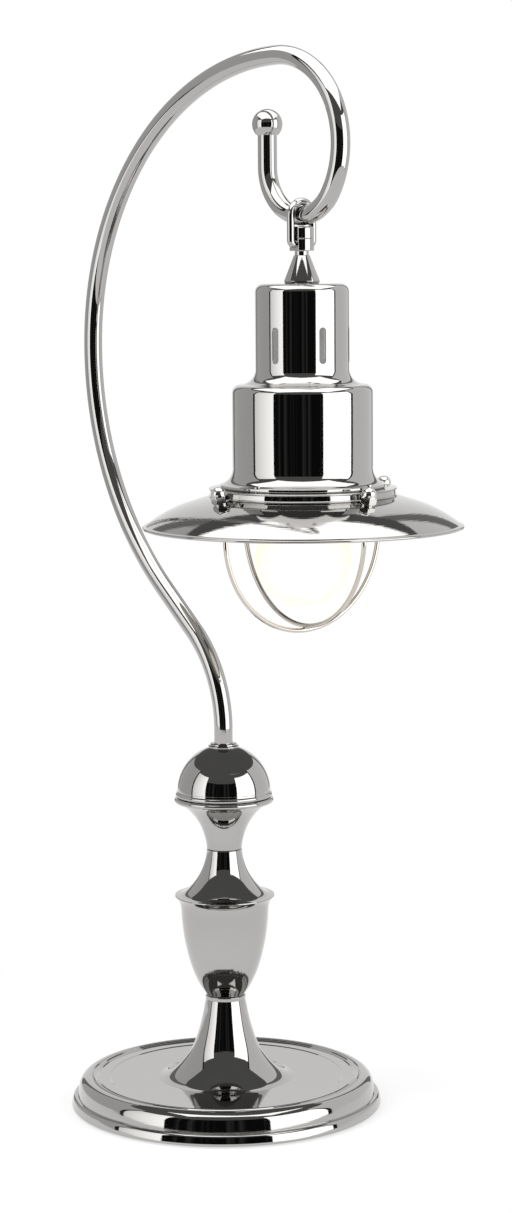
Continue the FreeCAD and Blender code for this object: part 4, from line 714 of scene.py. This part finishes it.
# The bulb: a 60 mm globe of coated glass on a screw cap, lit.
bulb_low, bulb_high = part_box("bulb_glass")
GLOBE_RADIUS = 30.0
bulb_mid = bulb_low[2] / MM + GLOBE_RADIUS
glass_top = bulb_high[2] / MM
globe_line = np.vstack([
    ball_arc(bulb_mid, GLOBE_RADIUS, -90, 56, 0, 90),
    flowing([(16.6, bulb_mid + 25.0), (14.3, bulb_mid + 29.0), (13.2, bulb_mid + 33.5), (13.0, glass_top)]),
])
globe = spun("globe", np.vstack([globe_line, [(0, glass_top)]]), middle=head_x, steps=192)
lit_glass = bpy.data.materials.new("lit_glass")
lit_glass.use_nodes = True
tree = lit_glass.node_tree
shader = tree.nodes["Principled BSDF"]
shader.inputs["Base Color"].default_value = (0.3, 0.29, 0.24, 1)
shader.inputs["Roughness"].default_value = 0.3
shader.inputs["Coat Weight"].default_value = 1.0
shader.inputs["Coat Roughness"].default_value = 0.1
shader.inputs["Coat IOR"].default_value = 1.2
shader.inputs["Coat Tint"].default_value = (0.93, 0.86, 0.70, 1)
shader.inputs["Emission Strength"].default_value = 1.0
place = tree.nodes.new("ShaderNodeTexCoord")
frost = noise_node(tree, "3D", 45.0, 3.0)
warm = tree.nodes.new("ShaderNodeMix")
warm.data_type = "RGBA"
warm.inputs["A"].default_value = (1.08, 1.17, 1.28, 1)
warm.inputs["B"].default_value = (1.12, 1.23, 1.40, 1)
tree.links.new(place.outputs["Object"], frost.inputs["Vector"])
tree.links.new(frost.outputs["Fac"], warm.inputs["Factor"])
tree.links.new(warm.outputs["Result"], shader.inputs["Emission Color"])
dress(globe, lit_glass, "head", "bulb_glass", "bulb_glass")


# Pieces that keep their solids: hardware, the lampholder, the weight and the pad.
zinc = plated("zinc_steel", (0.56, 0.56, 0.55), rough=0.22, smudge=0.12)
turned_brass = plated("turned_brass", (0.72, 0.55, 0.27), rough=0.14, smudge=0.1)
cap_metal = plated("cap_aluminium", (0.75, 0.75, 0.74), rough=0.2, smudge=0.1)


def plain(name, colour, other, rough, scale=300.0, depth=0.05):
    """Moulded, cast or woven stuff: two near colours mixed by noise, with the same noise as bump."""
    finish = bpy.data.materials.new(name)
    finish.use_nodes = True
    tree = finish.node_tree
    shader = tree.nodes["Principled BSDF"]
    place = tree.nodes.new("ShaderNodeTexCoord")
    grain = noise_node(tree, "3D", scale, 4.0)
    mix = tree.nodes.new("ShaderNodeMix")
    mix.data_type = "RGBA"
    mix.inputs["A"].default_value = (*colour, 1)
    mix.inputs["B"].default_value = (*other, 1)
    bump = tree.nodes.new("ShaderNodeBump")
    bump.inputs["Distance"].default_value = 0.0006
    bump.inputs["Strength"].default_value = depth
    dull = tree.nodes.new("ShaderNodeMapRange")
    dull.inputs["To Min"].default_value = rough * 0.85
    dull.inputs["To Max"].default_value = min(1.0, rough * 1.15)
    link = tree.links.new
    link(place.outputs["Object"], grain.inputs["Vector"])
    link(grain.outputs["Fac"], mix.inputs["Factor"])
    link(mix.outputs["Result"], shader.inputs["Base Color"])
    link(grain.outputs["Fac"], bump.inputs["Height"])
    link(bump.outputs["Normal"], shader.inputs["Normal"])
    link(grain.outputs["Fac"], dull.inputs["Value"])
    link(dull.outputs["Result"], shader.inputs["Roughness"])
    return finish


SOLIDS = {
    plain("felt_pad", (0.02, 0.02, 0.02), (0.06, 0.06, 0.06), 0.95, 900.0, 0.8): ["base_pad"],
    plain("painted_iron", (0.02, 0.02, 0.022), (0.05, 0.05, 0.05), 0.6, 140.0, 0.6): ["base_weight"],
    plain("black_rubber", (0.012, 0.012, 0.012), (0.03, 0.03, 0.03), 0.7): ["cable_grommet"],
    plain("cream_plastic", (0.72, 0.7, 0.64), (0.78, 0.76, 0.7), 0.5): ["terminal_block"],
    plain("cable_sheath", (0.6, 0.6, 0.57), (0.68, 0.68, 0.64), 0.45): ["arm_cable", "head_cable"],
    plain("black_moulding", (0.012, 0.012, 0.012), (0.025, 0.025, 0.025), 0.3):
        ["holder_top", "holder_skirt"],
    plain("glazed_ceramic", (0.8, 0.79, 0.75), (0.86, 0.85, 0.81), 0.25, 90.0): ["holder_insert"],
    plain("black_glass", (0.01, 0.01, 0.012), (0.02, 0.02, 0.022), 0.12): ["bulb_insulator"],
    plain("stem_glass", (0.7, 0.7, 0.68), (0.8, 0.8, 0.78), 0.2): ["filament_stem"],
    zinc: ["base_cover", "cover_screws", "tie_rod", "base_washer", "base_nut", "ring_screws", "cap_washer",
           "cap_nut", "holder_rod", "terminal_screws", "filament"],
    turned_brass: ["rod_coupler", "thread_shell", "centre_contact", "bulb_contact"],
    cap_metal: ["bulb_cap"],
    nut_nickel: ["guard_washers", "guard_studs"],
}
for finish, names in SOLIDS.items():
    for name in names:
        nodes[name].data.materials.clear()
        nodes[name].data.materials.append(finish)


# The studio: a white table and background, two tall white light boxes at the front left and
# right with black between them where the photographer stands, grey walls to the sides, a
# dark ceiling and a white box hung over the lamp. Only mirrors see any of it but the table.

VIEW_TURN = 47.0
TO_CAMERA = np.array([math.sin(math.radians(VIEW_TURN)), -math.cos(math.radians(VIEW_TURN))])
TO_RIGHT = np.array([math.cos(math.radians(VIEW_TURN)), math.sin(math.radians(VIEW_TURN))])
CARD_RADIUS = 1.6
CEILING_UP, CEILING_HALF = 1.9, 1.7
DARK = 0.125


def glow(name, strength, way=None, span=(0.5, 0.75), last=None):
    """A card that shines with its own grey. Along a way it fades from one strength to another over
    a span in metres, or, with no last strength given, carries soft upright streaks."""
    finish = bpy.data.materials.new(name)
    finish.use_nodes = True
    tree = finish.node_tree
    tree.nodes.clear()
    light = tree.nodes.new("ShaderNodeEmission")
    light.inputs["Color"].default_value = (1, 1, 1, 1)
    light.inputs["Strength"].default_value = strength
    out = tree.nodes.new("ShaderNodeOutputMaterial")
    tree.links.new(light.outputs[0], out.inputs["Surface"])
    if way is None:
        return finish
    place = tree.nodes.new("ShaderNodeTexCoord")
    along = tree.nodes.new("ShaderNodeVectorMath")
    along.operation = "DOT_PRODUCT"
    along.inputs[1].default_value = (*way, 0.0)
    ramp = tree.nodes.new("ShaderNodeMapRange")
    ramp.inputs["From Min"].default_value = span[0]
    ramp.inputs["From Max"].default_value = span[1]
    ramp.inputs["To Min"].default_value = strength
    ramp.inputs["To Max"].default_value = 0.055 if last is None else last
    tree.links.new(place.outputs["Object"], along.inputs[0])
    if last is None:
        streaks = noise_node(tree, "1D", 5.0, 2.0)
        tree.links.new(along.outputs["Value"], streaks.inputs["W"])
        tree.links.new(streaks.outputs["Fac"], ramp.inputs["Value"])
    else:
        tree.links.new(along.outputs["Value"], ramp.inputs["Value"])
    tree.links.new(ramp.outputs["Result"], light.inputs["Strength"])
    return finish


def hidden_card(name, spots, faces, *look):
    """A card that only mirrors see."""
    piece = mesh_piece(name, spots, faces)
    piece.data.materials.append(glow(name + "_glow", *look))
    piece.visible_camera = False
    piece.visible_diffuse = False
    piece.visible_shadow = False
    return piece


def card(name, first, last, low, high, *look):
    """A curved card round the lamp, between two angles counted from the camera to the right:
    point = radius (front cos a + right sin a), from its low to its high edge."""
    angle = np.radians(np.linspace(first, last, max(2, int((last - first) / 4) + 2)))
    flat = CARD_RADIUS * (np.outer(np.cos(angle), TO_CAMERA) + np.outer(np.sin(angle), TO_RIGHT))
    count = len(angle)
    spots = np.vstack([np.column_stack([flat, np.full(count, up)]) for up in (low, high)])
    here = np.arange(count - 1)
    faces = np.column_stack([here, here + 1, here + 1 + count, here + count])
    return hidden_card(name, spots, [faces], *look)


CARDS = [
    ("black_front", -46, 33, 0.0, 1.0, 0.006, TO_RIGHT), ("dark_front", -46, 33, 1.0, CEILING_UP, DARK),
    ("left_box", -82, -46, 0.02, 1.45, 1.25, TO_CAMERA, (0.22, 1.11), 2.1),
    ("left_box_over", -82, -46, 1.45, CEILING_UP, DARK),
    ("left_edge", -86, -82, 0.0, CEILING_UP, 0.02), ("left_wall", -150, -86, 0.0, CEILING_UP, 0.62),
    ("left_far_edge", -158, -150, 0.0, CEILING_UP, 0.22),
    ("right_box", 33, 82, 0.02, 1.45, 2.6), ("right_box_over", 33, 82, 1.45, CEILING_UP, DARK),
    ("right_edge", 82, 86, 0.0, CEILING_UP, 0.02), ("right_wall", 86, 150, 0.0, CEILING_UP, 0.92),
    ("right_far_edge", 150, 158, 0.0, CEILING_UP, 0.22), ("back_wall", 158, 202, 0.0, CEILING_UP, 0.94),
]
for entry in CARDS:
    card(*entry)
hidden_card("ceiling", [(x * CEILING_HALF, y * CEILING_HALF, CEILING_UP)
                        for x, y in ((-1, -1), (-1, 1), (1, 1), (1, -1))], [[(0, 1, 2, 3)]], DARK)


def over_card(name, middle, wide, near, far, up, strength):
    """A flat card over the lamp, square to the camera's way: wide across it, and reaching from a
    middle spot towards the camera and away from it."""
    corners = [np.append(np.array(middle) + side * TO_RIGHT * wide / 2 + reach * TO_CAMERA, up)
               for side, reach in ((-1, -far), (-1, near), (1, near), (1, -far))]
    return hidden_card(name, corners, [[(0, 1, 2, 3)]], strength)


over_card("top_box", (head_x, 0.0), 1.0, 0.45, 0.36, 1.05, 2.4)

# Three round dark boards keep the head and the light over it out of the column's mirrors: one
# each over the dome, the neck and the trumpet. They are dark from below and clear from above, and
# cross the lamp's own outline, so the column's dark patches are painted reflections, not the head's.

def painted_reflection_board(name, radius, up):
    """A level disc on the column's axis: point = radius (cos t, sin t), at one height, facing down. The
    column's mirrors show it as a painted dark reflection.
    """
    count = 48
    turn = np.linspace(0, 2 * np.pi, count, endpoint=False)
    ring = np.column_stack([radius * np.cos(turn), radius * np.sin(turn), np.full(count, up)])
    tree = hidden_card(name, ring, [[list(range(count))[::-1]]], DARK).data.materials[0].node_tree
    sides = tree.nodes.new("ShaderNodeNewGeometry")
    clear = tree.nodes.new("ShaderNodeBsdfTransparent")
    either = tree.nodes.new("ShaderNodeMixShader")
    tree.links.new(sides.outputs["Backfacing"], either.inputs["Fac"])
    tree.links.new(tree.nodes["Emission"].outputs[0], either.inputs[1])
    tree.links.new(clear.outputs[0], either.inputs[2])
    tree.links.new(either.outputs[0], tree.nodes["Material Output"].inputs["Surface"])


# Each board paints a dark reflection into the column below it, in place of the head's own.
painted_reflection_board("dome_board", 0.048, 0.25)
painted_reflection_board("neck_board", 0.075, 0.2)
painted_reflection_board("trumpet_board", 0.105, 0.135)

floor_mesh = bpy.data.meshes.new("table_top")
TABLE_HALF = 6.0
floor_mesh.from_pydata([(x * TABLE_HALF, y * TABLE_HALF, 0) for x, y in ((-1, -1), (1, -1), (1, 1), (-1, 1))],
                       [], [(0, 1, 2, 3)])
table = bpy.data.objects.new("table_top", floor_mesh)
bpy.context.scene.collection.objects.link(table)


def seen_directly(tree):
    """1 for rays from the camera, from mirrors and through glass, 0 for the rest."""
    path = tree.nodes.new("ShaderNodeLightPath")
    total = path.outputs["Is Camera Ray"]
    for name in ("Is Glossy Ray", "Is Transmission Ray"):
        add = tree.nodes.new("ShaderNodeMath")
        add.operation = "MAXIMUM"
        tree.links.new(total, add.inputs[0])
        tree.links.new(path.outputs[name], add.inputs[1])
        total = add.outputs[0]
    return total


white_table = bpy.data.materials.new("white_table")
white_table.use_nodes = True
tree = white_table.node_tree
tree.nodes.clear()
matt = tree.nodes.new("ShaderNodeBsdfDiffuse")
matt.inputs["Color"].default_value = (0.95, 0.95, 0.95, 1)
shine = tree.nodes.new("ShaderNodeEmission")
shine.inputs["Strength"].default_value = 1.0
spot = tree.nodes.new("ShaderNodeTexCoord")
away = tree.nodes.new("ShaderNodeVectorMath")
away.operation = "LENGTH"
fade = tree.nodes.new("ShaderNodeMapRange")
fade.interpolation_type = "SMOOTHSTEP"
fade.inputs["From Min"].default_value = 0.1
fade.inputs["From Max"].default_value = 0.4
fade.inputs["To Min"].default_value = 0.64
fade.inputs["To Max"].default_value = 1.0
share = tree.nodes.new("ShaderNodeMath")
share.operation = "MULTIPLY"
blend = tree.nodes.new("ShaderNodeMixShader")
out = tree.nodes.new("ShaderNodeOutputMaterial")
tree.links.new(spot.outputs["Object"], away.inputs[0])
tree.links.new(away.outputs["Value"], fade.inputs["Value"])
tree.links.new(fade.outputs["Result"], share.inputs[1])
tree.links.new(seen_directly(tree), share.inputs[0])
tree.links.new(share.outputs[0], blend.inputs["Fac"])
tree.links.new(matt.outputs[0], blend.inputs[1])
tree.links.new(shine.outputs[0], blend.inputs[2])
tree.links.new(blend.outputs[0], out.inputs["Surface"])
floor_mesh.materials.append(white_table)

world = bpy.data.worlds.new("studio_air")
bpy.context.scene.world = world
world.use_nodes = True
tree = world.node_tree
sky = tree.nodes["Background"]
level = tree.nodes.new("ShaderNodeMapRange")
level.inputs["To Min"].default_value = 0.85
level.inputs["To Max"].default_value = 1.0
tree.links.new(seen_directly(tree), level.inputs["Value"])
tree.links.new(level.outputs["Result"], sky.inputs["Strength"])
sky.inputs["Color"].default_value = (1, 1, 1, 1)


def lamp(name, place, aim, size, power):
    """A soft square light that looks at a point."""
    data = bpy.data.lights.new(name, "AREA")
    data.shape = "SQUARE"
    data.size = size
    data.energy = power
    piece = bpy.data.objects.new(name, data)
    bpy.context.scene.collection.objects.link(piece)
    piece.location = place
    piece.rotation_euler = (Vector(aim) - Vector(place)).to_track_quat("-Z", "Y").to_euler()
    piece.visible_glossy = False
    return piece


lamp("key_light", (-0.5, -1.4, 2.0), (0.05, 0, 0.2), 1.2, 22.0)
lamp("fill_light", (1.8, 0.6, 1.6), (0.05, 0, 0.3), 1.2, 12.0)

# The camera: level with the head's top, about two metres away and turned 47 degrees round the
# column from the side of the arm.
camera_data = bpy.data.cameras.new("camera")
camera_data.sensor_fit = "VERTICAL"
camera_data.sensor_height = 24.0
camera_data.lens = 59.513
camera = bpy.data.objects.new("camera", camera_data)
bpy.context.scene.collection.objects.link(camera)
camera.matrix_world = (Matrix.Translation((1.42256, -1.29690, 0.56210))
                       @ Matrix.Rotation(math.radians(VIEW_TURN), 4, "Z")
                       @ Matrix.Rotation(math.radians(90 - 6.91), 4, "X")
                       @ Matrix.Rotation(math.radians(-0.4), 4, "Z"))
bpy.context.scene.camera = camera
bpy.context.scene.view_settings.view_transform = "Standard"
